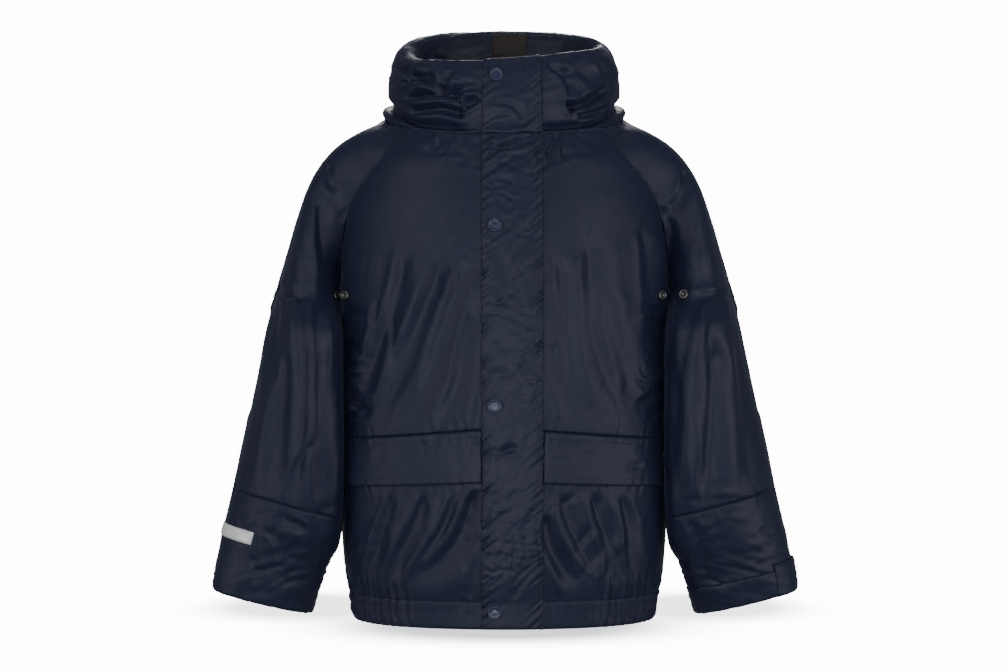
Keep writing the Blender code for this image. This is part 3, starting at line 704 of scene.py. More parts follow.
small = [crease for group in CRUMPLED for crease in group]
CALMER_FRONT = 0.6
for name, patch in net.items():
    x, y, z = patch.place.transpose(2, 0, 1)
    front, behind = facing(patch, [0, -1, 0]), facing(patch, [0, 1, 0])
    if name == "collar":
        inside = np.arange(len(patch.place))[:, None] > patch.row[RIM_SEAM]
        outer = np.where(inside, 0.0, 1.0)
        patch.relief += 1.8 * outer * front * press(x, z, COLLAR_FOLDS)
        patch.relief += outer * behind * press(x, z, COLLAR_BACK_FOLDS)
        patch.relief += (1 - outer) * front * press(x, z, COLLAR_BACK_FOLDS) * 0.6
    else:
        patch.relief += (front * press(x, z, FRONT_FOLDS + small)
                         + behind * press(x, z, BACK_FOLDS + small[::-1]))
        if name.startswith("sleeve"):
            outside = facing(patch, [1 if name.endswith("left") else -1, 0, 0])
            patch.relief += outside * (1 - front) * (1 - behind) * press(-y, z, SIDE_FOLDS)
    sideways = facing(patch, [1, 0, 0]) + facing(patch, [-1, 0, 0])
    calm = CALMER_FRONT if name == "front_left" else 1.0
    for crush in CRUSHED:
        if crush.kind == patch.kind:
            patch.relief += crushed(patch, crush) * (1 - 0.6 * sideways) * calm

print("creases pressed in:", len(by_hand) + len(small))

# %% Puckers and gathers
GATHER_DEPTH, GATHER_REACH, GATHER_LENGTH = 0.0036, 0.020, 0.0100

for side in ("left", "right"):
    patch = net["front_" + side]
    seed = 20 if side == "left" else 40
    pucker(patch, from_row(patch, 0), patch.across, 0.0016, 0.014, 0.016, seed, 0.4)
    pucker(patch, from_row(patch, POCKET_SEAM), patch.across, 0.0012, 0.010, 0.010, seed + 1, 0.3)
    pucker(patch, from_row(patch, FLAP_EDGE), patch.across, 0.0013, 0.009, 0.011, seed + 2, 0.3)
    pucker(patch, from_column(patch, SIDE), patch.down, 0.0010, 0.009, 0.014, seed + 3, 0.5)
    pucker(patch, from_column(patch, 2), patch.down, 0.0003, 0.006, 0.012, seed + 12, 0.6)
    held = smooth_step((patch.across - 0.075) / 0.05)
    gather = held * (0.35 + 0.65 * smooth_step((patch.down[-1] - patch.down) / 0.012))
    far = np.minimum(from_row(patch, HEM_SEAM), 0)
    gathers = wave(patch.across + 0.15 * far, GATHER_LENGTH, seed + 4)
    patch.relief += GATHER_DEPTH * gather * np.exp(-(far / GATHER_REACH) ** 2) * gathers
    pucker(patch, from_row(patch, HEM_SEAM), patch.across, 0.0007, 0.012, 0.010, seed + 5)
    sleeve = net["sleeve_" + side]
    for column, number in ((0, 6), (SLEEVE_CELLS, 7)):
        pucker(sleeve, from_column(sleeve, column), sleeve.down, 0.0008, 0.007, 0.013, seed + number, 0.4)
    pucker(sleeve, from_row(sleeve, 0), sleeve.across, 0.0014, 0.014, 0.015, seed + 8)
    pucker(sleeve, from_row(sleeve, FOREARM_SEAM), sleeve.across, 0.0009, 0.008, 0.013, seed + 9)
    pucker(sleeve, from_row(sleeve, CUFF), sleeve.across, 0.0008, 0.014, 0.012, seed + 10)
patch = net["back"]
far = np.minimum(from_row(patch, HEM_SEAM), 0)
patch.relief += 0.0030 * np.exp(-(far / 0.024) ** 2) * wave(patch.across, 0.0100, 60)
pucker(patch, from_row(patch, 0), patch.across, 0.0012, 0.014, 0.015, 61)
patch = net["collar"]
beside_flap = smooth_step((np.abs(patch.place[..., 0]) - 0.030) / 0.02)
patch.relief -= 0.0085 * beside_flap * np.exp(-np.abs((from_row(patch, ROLL_TOP) - 0.001) / 0.0046) ** 2.2)
pucker(patch, from_row(patch, ROLL_TOP), patch.across, 0.0010, 0.005, 0.013, 62)
pucker(patch, from_row(patch, 0), patch.across, 0.0012, 0.006, 0.016, 63)
for name, patch in net.items():
    ends = {"front": [SIDE], "back": [0, BACK_CELLS], "sleeve": [0, SLEEVE_CELLS]}.get(patch.kind, [])
    hold_edges(patch, patch.kind != "middle", ends)
    print(name, "relief mm", round(patch.relief.min() * 1000, 1), round(patch.relief.max() * 1000, 1))

# %% [markdown]
# ## Finishes
#
# The cloth is navy nylon with a coating: dark, with a broad soft sheen and no bright spot. A fine crinkle and
# the weave are far too small to model, so they are a bump in the material. Numbers that change over the
# surface are worked out with one small class, so that a formula reads as a formula.

# %% Shader maths
class Value:
    """A socket that can be worked with like a number."""

    def __init__(self, tree, socket):
        self.tree, self.socket = tree, socket

    def math(self, operation, *others):
        node = self.tree.nodes.new("ShaderNodeMath")
        node.operation = operation
        for slot, value in zip(node.inputs, (self, *others)):
            if isinstance(value, Value):
                self.tree.links.new(value.socket, slot)
            else:
                slot.default_value = value
        return Value(self.tree, node.outputs[0])

    def __add__(self, other):
        return self.math("ADD", other)

    def __mul__(self, other):
        return self.math("MULTIPLY", other)

    def __rsub__(self, other):
        return (self * -1) + other

    __radd__, __rmul__ = __add__, __mul__


class Finish:
    """A Principled material, and the nodes that feed it."""

    def __init__(self, name, **constants):
        self.material = bpy.data.materials.new(name)
        self.material.use_nodes = True
        self.tree = self.material.node_tree
        self.shader = self.tree.nodes["Principled BSDF"]
        for socket, value in constants.items():
            self.shader.inputs[socket.replace("_", " ")].default_value = value

    def node(self, kind, settings=None, **sockets):
        node = self.tree.nodes.new(kind)
        for key, value in (settings or {}).items():
            setattr(node, key, value)
        for key, value in sockets.items():
            self.put(node.inputs[key.replace("_", " ")], value)
        return node

    def put(self, socket, value):
        if isinstance(value, Value):
            self.tree.links.new(value.socket, socket)
        elif isinstance(value, bpy.types.NodeSocket):
            self.tree.links.new(value, socket)
        else:
            socket.default_value = value

    def value(self, node, output=0):
        return Value(self.tree, node.outputs[output])

    def feed(self, socket, value):
        self.put(self.shader.inputs[socket], value)


print("shader nodes are joined by", Value.__name__, "and", Finish.__name__)


# %% The cloth's finish and the others
def cloth_finish(name, colour, pale):
    """Coated nylon: colour mottled towards pale, with a crinkle and a weave under the sheen."""
    cloth = Finish(name, Sheen_Weight=0.10, Sheen_Roughness=0.4, Specular_IOR_Level=0.30,
                   Sheen_Tint=(0.55, 0.65, 1.0, 1))
    where = cloth.node("ShaderNodeTexCoord").outputs["Object"]
    mottle = cloth.node("ShaderNodeTexNoise", Vector=where, Scale=14.0, Detail=3.0)
    fine = cloth.node("ShaderNodeTexNoise", Vector=where, Scale=120.0, Detail=4.0, Roughness=0.6)
    mix = cloth.node("ShaderNodeMix", {"data_type": "RGBA"})
    cloth.put(mix.inputs[0], cloth.value(mottle))
    mix.inputs[6].default_value, mix.inputs[7].default_value = colour, pale
    cloth.feed("Base Color", mix.outputs[2])
    cloth.feed("Roughness", cloth.value(fine) * 0.10 + cloth.value(mottle) * 0.08 + (CLOTH_ROUGHNESS - 0.09))
    lengths = cloth.node("ShaderNodeUVMap").outputs[0]
    weave_u, weave_v = (cloth.node("ShaderNodeTexWave", {"bands_direction": way}, Vector=lengths, Scale=260.0)
                        for way in "XY")
    soft = cloth.node("ShaderNodeTexNoise", Vector=where, Scale=46.0, Detail=2.0)
    height = cloth.value(soft) * 0.0016 + cloth.value(fine) * 0.00022
    height = height + (cloth.value(weave_u, 1) + cloth.value(weave_v, 1)) * 0.00002
    bump = cloth.node("ShaderNodeBump", Height=height, Strength=0.55, Distance=1.0)
    cloth.feed("Normal", bump.outputs[0])
    return cloth.material


CLOTH_ROUGHNESS = 0.50
NAVY = (0.0086, 0.0120, 0.0350, 1)
NAVY_PALE = (0.0120, 0.0164, 0.0450, 1)
navy = cloth_finish("navy coated nylon", NAVY, NAVY_PALE)
navy_inside = cloth_finish("navy nylon inside the collar", (0.007, 0.010, 0.024, 1), NAVY)
thread = Finish("navy thread", Base_Color=(0.020, 0.027, 0.062, 1), Roughness=0.6).material
cap_finish = Finish("navy enamel", Base_Color=(0.016, 0.023, 0.070, 1), Roughness=0.38,
                    Coat_Weight=0.12).material
eyelet_finish = Finish("black enamelled metal", Base_Color=(0.110, 0.110, 0.115, 1), Metallic=0.8,
                       Roughness=0.30).material
tape_finish = Finish("woven zip tape", Base_Color=(0.008, 0.009, 0.014, 1), Roughness=0.8).material
patch_finish = Finish("blank woven patch", Base_Color=(0.018, 0.014, 0.012, 1), Roughness=0.75).material
silver = Finish("silver reflective tape", Base_Color=(0.80, 0.81, 0.82, 1), Metallic=0.1,
                Roughness=0.4).material
print("finishes:", [material.name for material in bpy.data.materials])

# %% [markdown]
# ## The sewn pieces
#
# Every piece is a window of a patch. Its edges are tucked in a little, so that a seam shows as a fine valley,
# and a solidify gives the one millimetre of cloth. Pieces that lie on others are lifted off the same points,
# the pocket flaps more and more towards their lower edge.

# %% Making a piece of cloth
def window_of(patch, rows, columns, over=0):
    """The fine points between two rows and columns of the net, begun a few points over the piece above."""
    first, last = (int(round(np.interp(c, np.arange(len(patch.column)), patch.column))) for c in columns)
    return slice(patch.row[rows[0]] - over, patch.row[rows[1]] + 1), slice(first, last + 1)


def sheet_mesh(name, points, outward, material, thickness=CLOTH):
    """A smooth skin over a grid of points, with the lengths along it as its map."""
    rows, columns = points.shape[:2]
    number = np.arange(rows * columns).reshape(rows, columns)
    corners = [number[:-1, :-1], number[1:, :-1], number[1:, 1:], number[:-1, 1:]]
    quads = np.stack(corners, axis=-1).reshape(-1, 4)
    if outward < 0:
        quads = quads[:, ::-1]
    mesh = bpy.data.meshes.new(name)
    mesh.from_pydata(points.reshape(-1, 3), [], quads)
    u = np.pad(np.cumsum(np.linalg.norm(np.diff(points, axis=1), axis=-1), axis=1), [(0, 0), (1, 0)])
    v = np.pad(np.cumsum(np.linalg.norm(np.diff(points, axis=0), axis=-1), axis=0), [(1, 0), (0, 0)])
    flat = np.stack([u.ravel(), v.ravel()], axis=1)
    loops = np.zeros(len(mesh.loops), dtype=int)
    mesh.loops.foreach_get("vertex_index", loops)
    mesh.uv_layers.new(name="lengths").data.foreach_set("uv", flat[loops].ravel())
    mesh.polygons.foreach_set("use_smooth", np.ones(len(mesh.polygons), dtype=bool))
    mesh.materials.append(material)
    piece = bpy.data.objects.new(name, mesh)
    bpy.context.scene.collection.objects.link(piece)
    if thickness:
        solid = piece.modifiers.new("cloth thickness", "SOLIDIFY")
        solid.thickness, solid.offset = thickness, -1
    return piece


ALLOWANCE = 0.0026
TURNED_IN = 0.0008


def tucked(points, normal, size=0.0006, reach=0.0018):
    """Points with the edges of their window pressed in."""
    down = np.linalg.norm(np.diff(points, axis=0), axis=-1).mean()
    across = np.linalg.norm(np.diff(points, axis=1), axis=-1).mean()
    rows, columns = np.indices(points.shape[:2])
    far = np.minimum(np.minimum(rows, len(points) - 1 - rows) * down,
                     np.minimum(columns, points.shape[1] - 1 - columns) * across)
    return points - normal * (size * np.exp(-(far / reach) ** 2))[..., None]


def allowed(points, normal, top, sides):
    """Points whose top and side edges run on a little, turned in under the next piece as a seam allowance."""
    points = points.copy()
    edges = [(points[0], points[1], normal[0])] if top else []
    if sides:
        edges += [(points[:, 0], points[:, 1], normal[:, 0]), (points[:, -1], points[:, -2], normal[:, -1])]
    for edge, next_to_it, outwards in edges:
        edge += unit(edge - next_to_it) * ALLOWANCE - outwards * TURNED_IN
    return points


def cloth_piece(node, patch_name, rows, columns, material=navy, lift=0.0, lower_lift=None,
                over=0, top=False, sides=False):
    patch = net[patch_name]
    window = window_of(patch, rows, columns, over)
    points, normal = patch.surface(lift)[window], patch.normal[window]
    if lower_lift is not None:
        share = np.linspace(0, 1, len(points))[:, None, None]
        points = points + normal * (lower_lift - lift) * share ** 1.5
    outward = -1 if patch_name in ("front_right", "sleeve_right", "collar") else 1
    points = allowed(tucked(points, normal), normal, top, sides)
    piece = sheet_mesh(node + "_cloth", points, outward, material)
    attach(piece, "root")
    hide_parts(node)
    pieces[node] = piece


print("a seam allowance of", 1000 * ALLOWANCE, "mm is turned in at the neck and the raglan seams")

# %% Every piece of cloth
pieces = {}
for side in ("left", "right"):
    front, sleeve = "front_" + side, "sleeve_" + side
    last = CUFF_SEAM if side == "left" else CUFF
    inner_end = 2 if side == "left" else 1
    cloth_piece("front_upper_" + side, front, (0, POCKET_SEAM), (0, SIDE))
    cloth_piece("front_lower_" + side, front, (POCKET_SEAM, HEM_SEAM), (0, SIDE))
    cloth_piece("hem_" + side, front, (HEM_SEAM, HEM), (0, SIDE), lift=0.0014, over=1)
    cloth_piece("pocket_flap_" + side, front, (POCKET_SEAM, FLAP_EDGE), (inner_end, SIDE - 1),
                lift=0.0012, lower_lift=0.0046)
    cloth_piece("sleeve_upper_" + side, sleeve, (0, FOREARM_SEAM), (0, SLEEVE_CELLS), sides=True)
    cloth_piece("sleeve_lower_" + side, sleeve, (FOREARM_SEAM, last), (0, SLEEVE_CELLS))
cloth_piece("back", "back", (0, HEM_SEAM), (0, BACK_CELLS))
cloth_piece("hem_back", "back", (HEM_SEAM, HEM), (0, BACK_CELLS), lift=0.0014, over=1)
cloth_piece("cuff_band_left", "sleeve_left", (CUFF_SEAM, CUFF), (0, SLEEVE_CELLS), lift=0.0014, over=1)
cloth_piece("cuff_tab_left", "sleeve_left", (TAB_TOP, CUFF), (5, 9), lift=0.0030)
cloth_piece("reflective_strip", "sleeve_right", (STRIP_TOP, STRIP_END), (4.4, 9), silver, 0.0012)
around = net["collar"].column.size - 1
cloth_piece("collar_roll", "collar", (0, ROLL_TOP), (0, around), top=True)
cloth_piece("collar_outer", "collar", (ROLL_TOP, RIM_SEAM), (0, around))
cloth_piece("collar_inner", "collar", (RIM_SEAM, INSIDE), (0, around), navy_inside)
cloth_piece("neck_patch", "collar", (RIM_SEAM, RIM_SEAM + 2), (around // 2 - 2, around // 2 + 1),
            patch_finish, 0.0012)
print("cloth pieces:", len(pieces))

# %% [markdown]
# ## Storm flap and zip
#
# The flap is a doubled strip with snap caps down it, in two lengths joined at the collar seam. It is stiffer
# than the rest and sewn down on one side, so it is full of short puckers that lean in from both edges.

# %% Storm flap and zip
flap = net["middle"]
COLLAR_LENGTH = INSIDE
RIM = INSIDE - RIM_SEAM + 1
LAST = len(middle) - 1
width = flap.across[:, -1:]
pucker(flap, flap.across, flap.down, 0.0026, 0.009, 0.0105, 80, 0.7)
pucker(flap, width - flap.across, flap.down, 0.0026, 0.010, 0.0095, 81, -0.7)
x, y, z = flap.place.transpose(2, 0, 1)
flap.relief += press(x, z, scattered(70, 0.008, -0.250, 0.026, 0.290, 20, 35, 0.022, 0.0035, 0.0008, 82))
flap.relief += press(x, z, creases(
    (-24, -46, 46, -12, 4, 4.5, 3.5),
    (-24, -30, 40, -20, -3, 4, 2.5),
    (-22, -62, 20, -36, 3, 4.5, 2.2),
    (36, -50, 42, -20, 1, 3.5, 2.5),
    (-10, 20, 22, 0, 6, 4, 2),
))
for name, rows in (("storm_flap_collar", (RIM, COLLAR_LENGTH)), ("storm_flap", (COLLAR_LENGTH, LAST))):
    cloth_piece(name, "middle", rows, (0, 4), lift=0.0022)

here = window_of(flap, (RIM + 1, LAST - 1), (0, 3))
under = flap.surface(-0.0045)[here]
half = int(round(TAPE_HALF / (CELL["middle"] * COARSER)))
centre = (flap.column[1] + flap.column[2]) // 2
tape = sheet_mesh("zip_tape_cloth", under[:, centre - half:centre + half + 1], 1, tape_finish, 0.0008)
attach(tape, "root")
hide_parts("zip_tape")
pieces["zip_tape"] = tape
print("flap relief mm", round(flap.relief.min() * 1000, 1), round(flap.relief.max() * 1000, 1))

# %% [markdown]
# ## Stitching
#
# Lockstitch in navy thread, about three stitches to the centimetre. Each stitch is a tiny spindle laid along
# a line that runs beside a seam, following the cloth's own puckers.

# %% Stitches along the seams
STITCH = 0.0034


def beside(patch, axis, index, inset, start, end, lift):
    """A line of points and outward directions beside a row (axis 0) or column (axis 1) of the net."""
    run = patch.down if axis == 0 else patch.across.T
    surface = patch.surface(lift) if axis == 0 else patch.surface(lift).transpose(1, 0, 2)
    normal = patch.normal if axis == 0 else patch.normal.transpose(1, 0, 2)
    marks, others = (patch.row, patch.column) if axis == 0 else (patch.column, patch.row)
    target = run[marks[index]] + inset
    line = []
    for j in range(others[start], others[end] + 1):
        both = np.concatenate([surface[:, j], normal[:, j]], axis=1)
        line.append([np.interp(target[j], run[:, j], both[:, k]) for k in range(6)])
    return np.array(line)


def spindles(lines, length=0.0026, width=0.00050, height=0.00045):
    """All the stitches of some lines: points and faces."""
    points, faces = [], []
    for line in lines:
        place, normal = line[:, :3], unit(line[:, 3:])
        along = np.concatenate([[0], np.cumsum(np.linalg.norm(np.diff(place, axis=0), axis=1))])
        middles = np.arange(STITCH / 2, along[-1], STITCH)
        ends = [np.stack([np.interp(middles + s, along, place[:, k]) for k in range(3)], axis=1)
                for s in (-length / 2, 0, length / 2)]
        up = unit(np.stack([np.interp(middles, along, normal[:, k]) for k in range(3)], axis=1))
        side = unit(np.cross(up, ends[2] - ends[0]))
        ring = [ends[1] + side * width, ends[1] + up * height, ends[1] - side * width, ends[1] - up * height]
        block = np.stack([ends[0], ends[2]] + ring, axis=1)
        start = sum(len(p) for p in points)
        points.append(block.reshape(-1, 3))
        for k in range(len(middles)):
            n = start + 6 * k
            for a, b in ((2, 3), (3, 4), (4, 5), (5, 2)):
                faces += [(n, n + b, n + a), (n + 1, n + a, n + b)]
    return np.concatenate(points), faces


def sew(name, lines):
    points, faces = spindles(lines)
    mesh = bpy.data.meshes.new(name)
    mesh.from_pydata(points, [], faces)
    mesh.materials.append(thread)
    piece = bpy.data.objects.new(name, mesh)
    bpy.context.scene.collection.objects.link(piece)
    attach(piece, "root")
    return piece


def traced(patch, path, lift):
    """A line over the front of a patch above the corners x, z of a path."""
    path = np.array(path)
    along = np.concatenate([[0], np.cumsum(np.linalg.norm(np.diff(path, axis=0), axis=1))])
    at = np.linspace(0, along[-1], 24)
    surface, front = patch.surface(lift), patch.normal[..., 1] < -0.1
    line = []
    for x, z in zip(np.interp(at, along, path[:, 0]), np.interp(at, along, path[:, 1])):
        far = np.hypot(surface[..., 0] - x, surface[..., 2] - z) + np.where(front, 0, 1)
        near = np.argsort(far.ravel())[:6]
        share = 1 / (far.ravel()[near] + 1e-4)
        both = np.concatenate([surface, patch.normal], axis=-1).reshape(-1, 6)[near]
        line.append((both * share[:, None]).sum(axis=0) / share.sum())
    return np.array(line)


# The wearer's left forearm has a pleat sewn down in slanting lines under a level one.
PLEAT = [
    [(0.2317, -0.424), (0.2430, -0.451), (0.2567, -0.495)],
    [(0.2545, -0.412), (0.2850, -0.412)],
    [(0.2491, -0.470), (0.2447, -0.497)],
    [(0.2796, -0.464), (0.2818, -0.477)],
]
print("pleat lines:", len(PLEAT))

# %% Every seam's stitches
stitching = {}
for side in ("left", "right"):
    front, sleeve = net["front_" + side], net["sleeve_" + side]
    start = 2 if side == "left" else 1
    stitching["front_" + side] = sew("stitches_front_" + side, [
        beside(front, 0, POCKET_SEAM, -0.0025, start, SIDE, 0.0002),
        beside(front, 0, POCKET_SEAM, 0.0070, start, SIDE - 1, 0.0020),
        beside(front, 0, FLAP_EDGE, -0.0085, start, SIDE - 1, 0.0040),
        beside(front, 0, HEM_SEAM, -0.0022, start, SIDE, 0.0002),
        beside(front, 0, HEM_SEAM, 0.0022, start, SIDE, 0.0014),
        beside(front, 1, SIDE, -0.0030, 0, ARMPIT, 0.0002),
    ])
    lines = [
        beside(sleeve, 1, 0, 0.0030, 0, ARMPIT, 0.0002),
        beside(sleeve, 1, SLEEVE_CELLS, -0.0030, 0, ARMPIT, 0.0002),
        beside(sleeve, 0, FOREARM_SEAM, 0.0022, 0, SLEEVE_CELLS, 0.0002),
        beside(sleeve, 0, CUFF, -0.0100, 0, SLEEVE_CELLS, 0.0002 if side == "right" else 0.0016),
    ]
    if side == "left":
        lines += [
            beside(sleeve, 0, CUFF, -0.0030, 0, SLEEVE_CELLS, 0.0016),
            beside(sleeve, 0, CUFF_SEAM, 0.0025, 0, SLEEVE_CELLS, 0.0016),
            beside(sleeve, 0, TAB_TOP, 0.0025, 5, 9, 0.0032),
        ]
        lines += [traced(sleeve, path, 0.0003) for path in PLEAT]
    stitching["sleeve_" + side] = sew("stitches_sleeve_" + side, lines)
stitching["back"] = sew("stitches_back", [
    beside(net["back"], 0, HEM_SEAM, -0.0022, 0, BACK_CELLS, 0.0002),
    beside(net["back"], 1, 0, 0.0030, 0, ARMPIT, 0.0002),
    beside(net["back"], 1, BACK_CELLS, -0.0030, 0, ARMPIT, 0.0002),
])
stitching["flap"] = sew("stitches_flap", [
    beside(flap, 1, 0, 0.0035, RIM, LAST, 0.0024),
    beside(flap, 1, 4, -0.0025, RIM, LAST, 0.0024),
    beside(flap, 1, 4, -0.0080, COLLAR_LENGTH, LAST, 0.0024),
    beside(flap, 1, 4, -0.0160, RIM, COLLAR_LENGTH, 0.0024),
    beside(flap, 0, COLLAR_LENGTH, 0.0025, 0, 4, 0.0024),
])
stitching["collar"] = sew("stitches_collar", [
    beside(net["collar"], 0, ROLL_TOP, 0.0025, 0, around, 0.0002),
    beside(net["collar"], 0, 0, 0.0022, 0, around, 0.0002),
])
print("stitches:", sum(len(p.data.vertices) // 6 for p in stitching.values()))

# %% [markdown]
# ## Snap caps and eyelets
#
# The caps are enamelled metal, turned: a rolled ring round a shallow dish. The eyelets beside the armpits let
# damp air out, and they are a rolled rim of black enamelled metal round a dark hole, which is a sunken disc
# of the
# same metal: painted shade in place of an open hole.

# %% Turned pieces
def turned(name, rings, place, direction, material, segments=48):
    turn = Vector(direction).to_track_quat("Z", "Y").to_matrix()
    angle = np.linspace(0, 2 * math.pi, segments, endpoint=False)
    points = [np.stack([r * np.cos(angle), r * np.sin(angle), np.full(segments, h)], axis=1)
              for r, h in rings]
    points = np.concatenate(points) @ np.array(turn).T + np.array(place)
    faces = []
    for ring in range(len(rings) - 1):
        for k in range(segments):
            a, b = ring * segments + k, ring * segments + (k + 1) % segments
            faces.append((a, b, b + segments, a + segments))
    mesh = bpy.data.meshes.new(name)
    mesh.from_pydata(points, [], faces)
    mesh.polygons.foreach_set("use_smooth", np.ones(len(mesh.polygons), dtype=bool))
    mesh.materials.append(material)
    piece = bpy.data.objects.new(name, mesh)
    bpy.context.scene.collection.objects.link(piece)
    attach(piece, "root")
    return piece


def seat(node, patch, lift, forwards=0.0):
    """Where a fitting sits: the cloth's point nearest the node's middle, and the way it faces."""
    low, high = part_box(node)
    surface = patch.surface(lift)
    far = np.linalg.norm(surface - (np.array(low) + np.array(high)) / 2, axis=-1)
    i, j = np.unravel_index(far.argmin(), far.shape)
    out = unit(patch.normal[max(i - 2, 0):i + 3, max(j - 2, 0):j + 3].mean(axis=(0, 1)))
    return surface[i, j], unit(out + [0, -forwards, 0])


CAP_RINGS = [(0.0072, -0.0012), (0.0076, 0.0008), (0.0075, 0.0022), (0.0069, 0.0030), (0.0061, 0.0031),
             (0.0054, 0.0025), (0.0048, 0.0020), (0.0030, 0.0022), (0.0001, 0.0024)]
# An eyelet's first two rings close its hole with a sunken disc of the dark metal: painted shade where the
# hole is.
EYELET_RINGS = [(0.0001, -0.0004), (0.0025, -0.0003), (0.0026, 0.0010), (0.0034, 0.0019), (0.0047, 0.0019),
                (0.0056, 0.0010), (0.0059, -0.0030)]
for number in range(1, 5):
    node = f"snap_{number}"
    cap = turned(node + "_cap", CAP_RINGS, *seat(node, flap, 0.0022), cap_finish)
    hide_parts(node)
for side in ("left", "right"):
    for part in ("body", "sleeve"):
        node = f"eyelet_{part}_{side}"
        patch = net[("front_" if part == "body" else "sleeve_") + side]
        ring = turned(node + "_ring", EYELET_RINGS, *seat(node, patch, 0.0024, 0.8), eyelet_finish)
        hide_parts(node)
print("caps across mm:", round(2000 * CAP_RINGS[1][0], 1))

# %% [markdown]
# ## The rolled hood
#
# The hood is rolled up in the collar, and only the bulk of it shows. It is one closed roll just inside the
# collar's cloth, pressed into the same folds.

# %% The rolled hood
wrap = net["collar"]
FIRST = FRONT_CELLS + 2
roll = wrap.surface(-0.0040)[wrap.row[1]:, wrap.column[FIRST]:wrap.column[around - FIRST] + 1]
roll = np.concatenate([roll, roll[:1]])[::2, ::2]
hood = sheet_mesh("hood_rolled_cloth", roll, -1, navy_inside, 0)
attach(hood, "root")
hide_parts("hood_rolled")

# %% [markdown]
# ## What each cloth was cut to
#
# Each piece as it would lie flat, in metres: its width, its length and, where it isn't a rectangle, its area.
# A sleeve, cuff or collar is opened out, so its width is the whole way round.

# %% Cuts
Cut = namedtuple("Cut", "node width length area held hangs_from")
CUTS = [
    Cut("front_upper_right", 0.245, 0.375, 0.0715, "hung", "collar_roll"),
    Cut("front_upper_left", 0.240, 0.375, 0.0700, "hung", "collar_roll"),
    Cut("front_lower_right", 0.265, 0.170, None, "gathered", "front_upper_right"),
    Cut("front_lower_left", 0.265, 0.170, None, "gathered", "front_upper_left"),
    Cut("back", 0.540, 0.580, 0.2400, "hung", "collar_roll"),
    Cut("hem_right", 0.275, 0.031, None, "gathered", "front_lower_right"),
    Cut("hem_left", 0.275, 0.031, None, "gathered", "front_lower_left"),
    Cut("hem_back", 0.550, 0.031, None, "gathered", "back"),
    Cut("pocket_flap_right", 0.190, 0.056, None, "hung", "front_upper_right"),
    Cut("pocket_flap_left", 0.173, 0.056, None, "hung", "front_upper_left"),
    Cut("sleeve_upper_right", 0.410, 0.500, 0.1380, "hung", "collar_roll"),
    Cut("sleeve_upper_left", 0.410, 0.500, 0.1380, "hung", "collar_roll"),
    Cut("sleeve_lower_right", 0.370, 0.122, 0.0405, "hung", "sleeve_upper_right"),
    Cut("sleeve_lower_left", 0.370, 0.093, 0.0316, "hung", "sleeve_upper_left"),
    Cut("reflective_strip", 0.118, 0.015, None, "hung", "sleeve_lower_right"),
    Cut("cuff_band_left", 0.325, 0.031, None, "hung", "sleeve_lower_left"),
    Cut("cuff_tab_left", 0.100, 0.036, None, "hung", "cuff_band_left"),
    Cut("collar_roll", 0.700, 0.016, None, "folded", "collar_outer"),
    Cut("collar_outer", 0.620, 0.100, None, "folded", "collar_roll"),
    Cut("collar_inner", 0.500, 0.067, None, "folded", "collar_outer"),
    Cut("neck_patch", 0.041, 0.042, None, "hung", "collar_inner"),
    Cut("storm_flap_collar", 0.068, 0.092, None, "hung", "collar_outer"),
    Cut("storm_flap", 0.068, 0.575, None, "hung", "storm_flap_collar"),
    Cut("zip_tape", 0.030, 0.640, None, "hung", "collar_outer"),
]
for cut in CUTS:
    piece = pieces[cut.node]
    print(cut.node, "surface m2", round(sum(face.area for face in piece.data.polygons), 4),
          "cut m2", round(cut.area or cut.width * cut.length, 4))

# %% [markdown]
# ## Stage, light and camera
#
# A white studio: a pale floor just under the hem and a white wall. The floor has soft spots of painted
# shadow, one under the body and two further back that the camera sees below the cuffs; no lamp casts them.
# Both boards glow, so that they stay even, and are kept out of the cloth's reflections. Seven soft lights
# stand on both sides in front, low down, above and behind. The camera is level with the middle of the body.

# %% The stage
STUDIO_WHITE = 14.0
FLOOR_Z = -0.556
BOARD_SIZE = 12


def glowing(name, shadows=()):
    """A white needing no lamp, with soft painted shadows: each one's x, y, half width, half depth and
    darkness.
    """
    finish = Finish(name, Base_Color=(0, 0, 0, 1), Roughness=1.0, Specular_IOR_Level=0.0,
                    Emission_Strength=STUDIO_WHITE)
    if not shadows:
        finish.feed("Emission Color", (1, 1, 1, 1))
        return finish.material
    # Each spot darkens the floor's glow towards near black: a painted shadow.
    light = 1.0
    where = finish.node("ShaderNodeTexCoord").outputs["Object"]
    for x, y, half_width, half_depth, dark in shadows:
        moved = finish.node("ShaderNodeMapping", Vector=where, Location=(-x / half_width, -y / half_depth, 0),
                            Scale=(1 / half_width, 1 / half_depth, 0))
        away = finish.node("ShaderNodeVectorMath", {"operation": "LENGTH"})
        finish.put(away.inputs[0], moved.outputs[0])
        spot = finish.node("ShaderNodeMapRange", {"interpolation_type": "SMOOTHERSTEP"})
        finish.put(spot.inputs["Value"], away.outputs["Value"])
        for socket, value in (("From Min", 0.55), ("From Max", 1.6), ("To Min", 1 - dark), ("To Max", 1.0)):
            spot.inputs[socket].default_value = value
        light = finish.value(spot) * light
    shade = finish.node("ShaderNodeMix", {"data_type": "RGBA"})
    finish.put(shade.inputs[0], light)
    shade.inputs[6].default_value, shade.inputs[7].default_value = (0.03, 0.033, 0.04, 1), (1, 1, 1, 1)
    finish.feed("Emission Color", shade.outputs[2])
    return finish.material


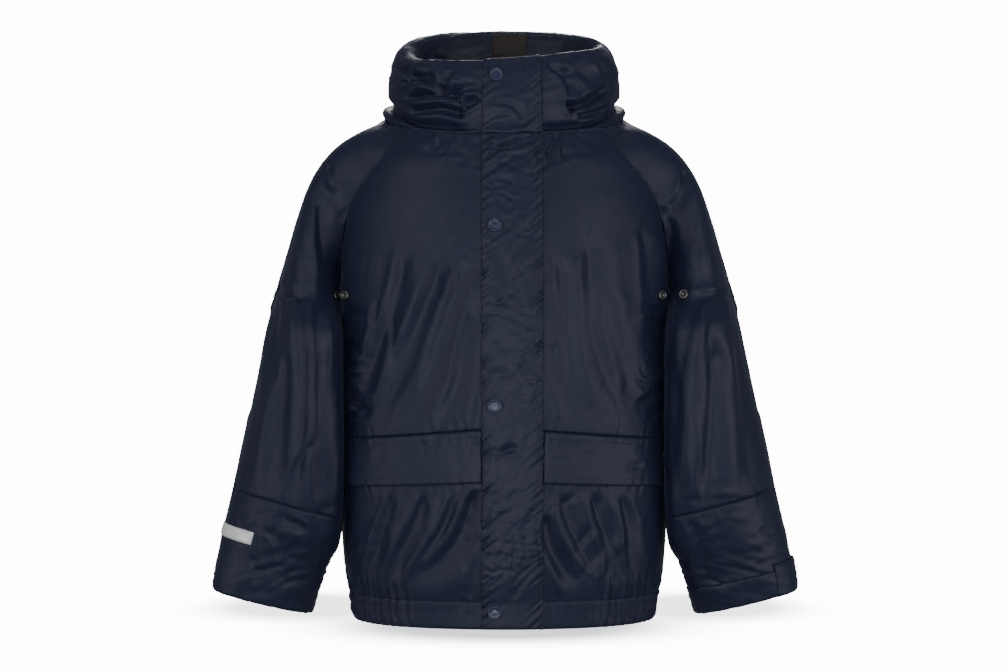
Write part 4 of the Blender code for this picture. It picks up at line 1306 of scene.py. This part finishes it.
def board(name, place, turn, material):
    mesh = bpy.data.meshes.new(name)
    half = BOARD_SIZE / 2
    corners = [(x * half, y * half, 0) for x, y in ((-1, -1), (1, -1), (1, 1), (-1, 1))]
    mesh.from_pydata(corners, [], [(0, 1, 2, 3)])
    mesh.materials.append(material)
    obj = bpy.data.objects.new(name, mesh)
    obj.location, obj.rotation_euler = place, turn
    obj.visible_diffuse = obj.visible_glossy = False
    bpy.context.scene.collection.objects.link(obj)


# Painted shadows on the floor: one under the body, and one behind each cuff that the camera sees below it.
SHADOWS = [
    (0.0, 0.0, 0.190, 0.125, 0.93),
    (-0.245, 0.160, 0.105, 0.120, 0.80),
    (0.245, 0.160, 0.105, 0.120, 0.80),
]
board("floor", (0, 0, FLOOR_Z), (0, 0, 0), glowing("pale floor", SHADOWS))
board("wall", (0, 5.9, 0), (math.pi / 2, 0, 0), glowing("white wall"))
print("floor at", FLOOR_Z, "with soft shadows:", len(SHADOWS))


# %% Lights and camera
def soft_light(name, place, size, power, target=(0, 0, -0.2)):
    light = bpy.data.lights.new(name, "AREA")
    light.shape, light.size, light.energy = "SQUARE", size, power
    obj = bpy.data.objects.new(name, light)
    obj.location = place
    obj.rotation_euler = (Vector(target) - Vector(place)).to_track_quat("-Z", "Y").to_euler()
    bpy.context.scene.collection.objects.link(obj)


soft_light("key", (-1.6, -2.0, 0.8), 1.1, 13)
soft_light("fill", (1.6, -2.1, 0.3), 1.1, 16)
soft_light("low front", (-0.2, -2.5, -0.6), 1.2, 23)
soft_light("behind", (0.0, 2.4, 1.4), 1.0, 26)
soft_light("low left", (-2.1, -1.2, -0.6), 0.9, 9, (-0.2, 0, -0.45))
soft_light("low right", (2.1, -1.2, -0.6), 0.9, 12, (0.2, 0, -0.45))
soft_light("top", (0.1, -0.5, 1.9), 1.2, 3)
world = bpy.data.worlds.new("studio")
world.use_nodes = True
sky = world.node_tree.nodes["Background"].inputs
sky["Color"].default_value, sky["Strength"].default_value = (1, 1, 1, 1), 0.17
bpy.context.scene.world = world
camera = bpy.data.objects.new("camera", bpy.data.cameras.new("camera"))
camera.data.lens = 70
camera.location, camera.rotation_euler = (0.0, -2.2, -0.231), (math.pi / 2, 0, 0)
bpy.context.scene.collection.objects.link(camera)
bpy.context.scene.camera = camera
print("camera at", tuple(round(v, 3) for v in camera.location))
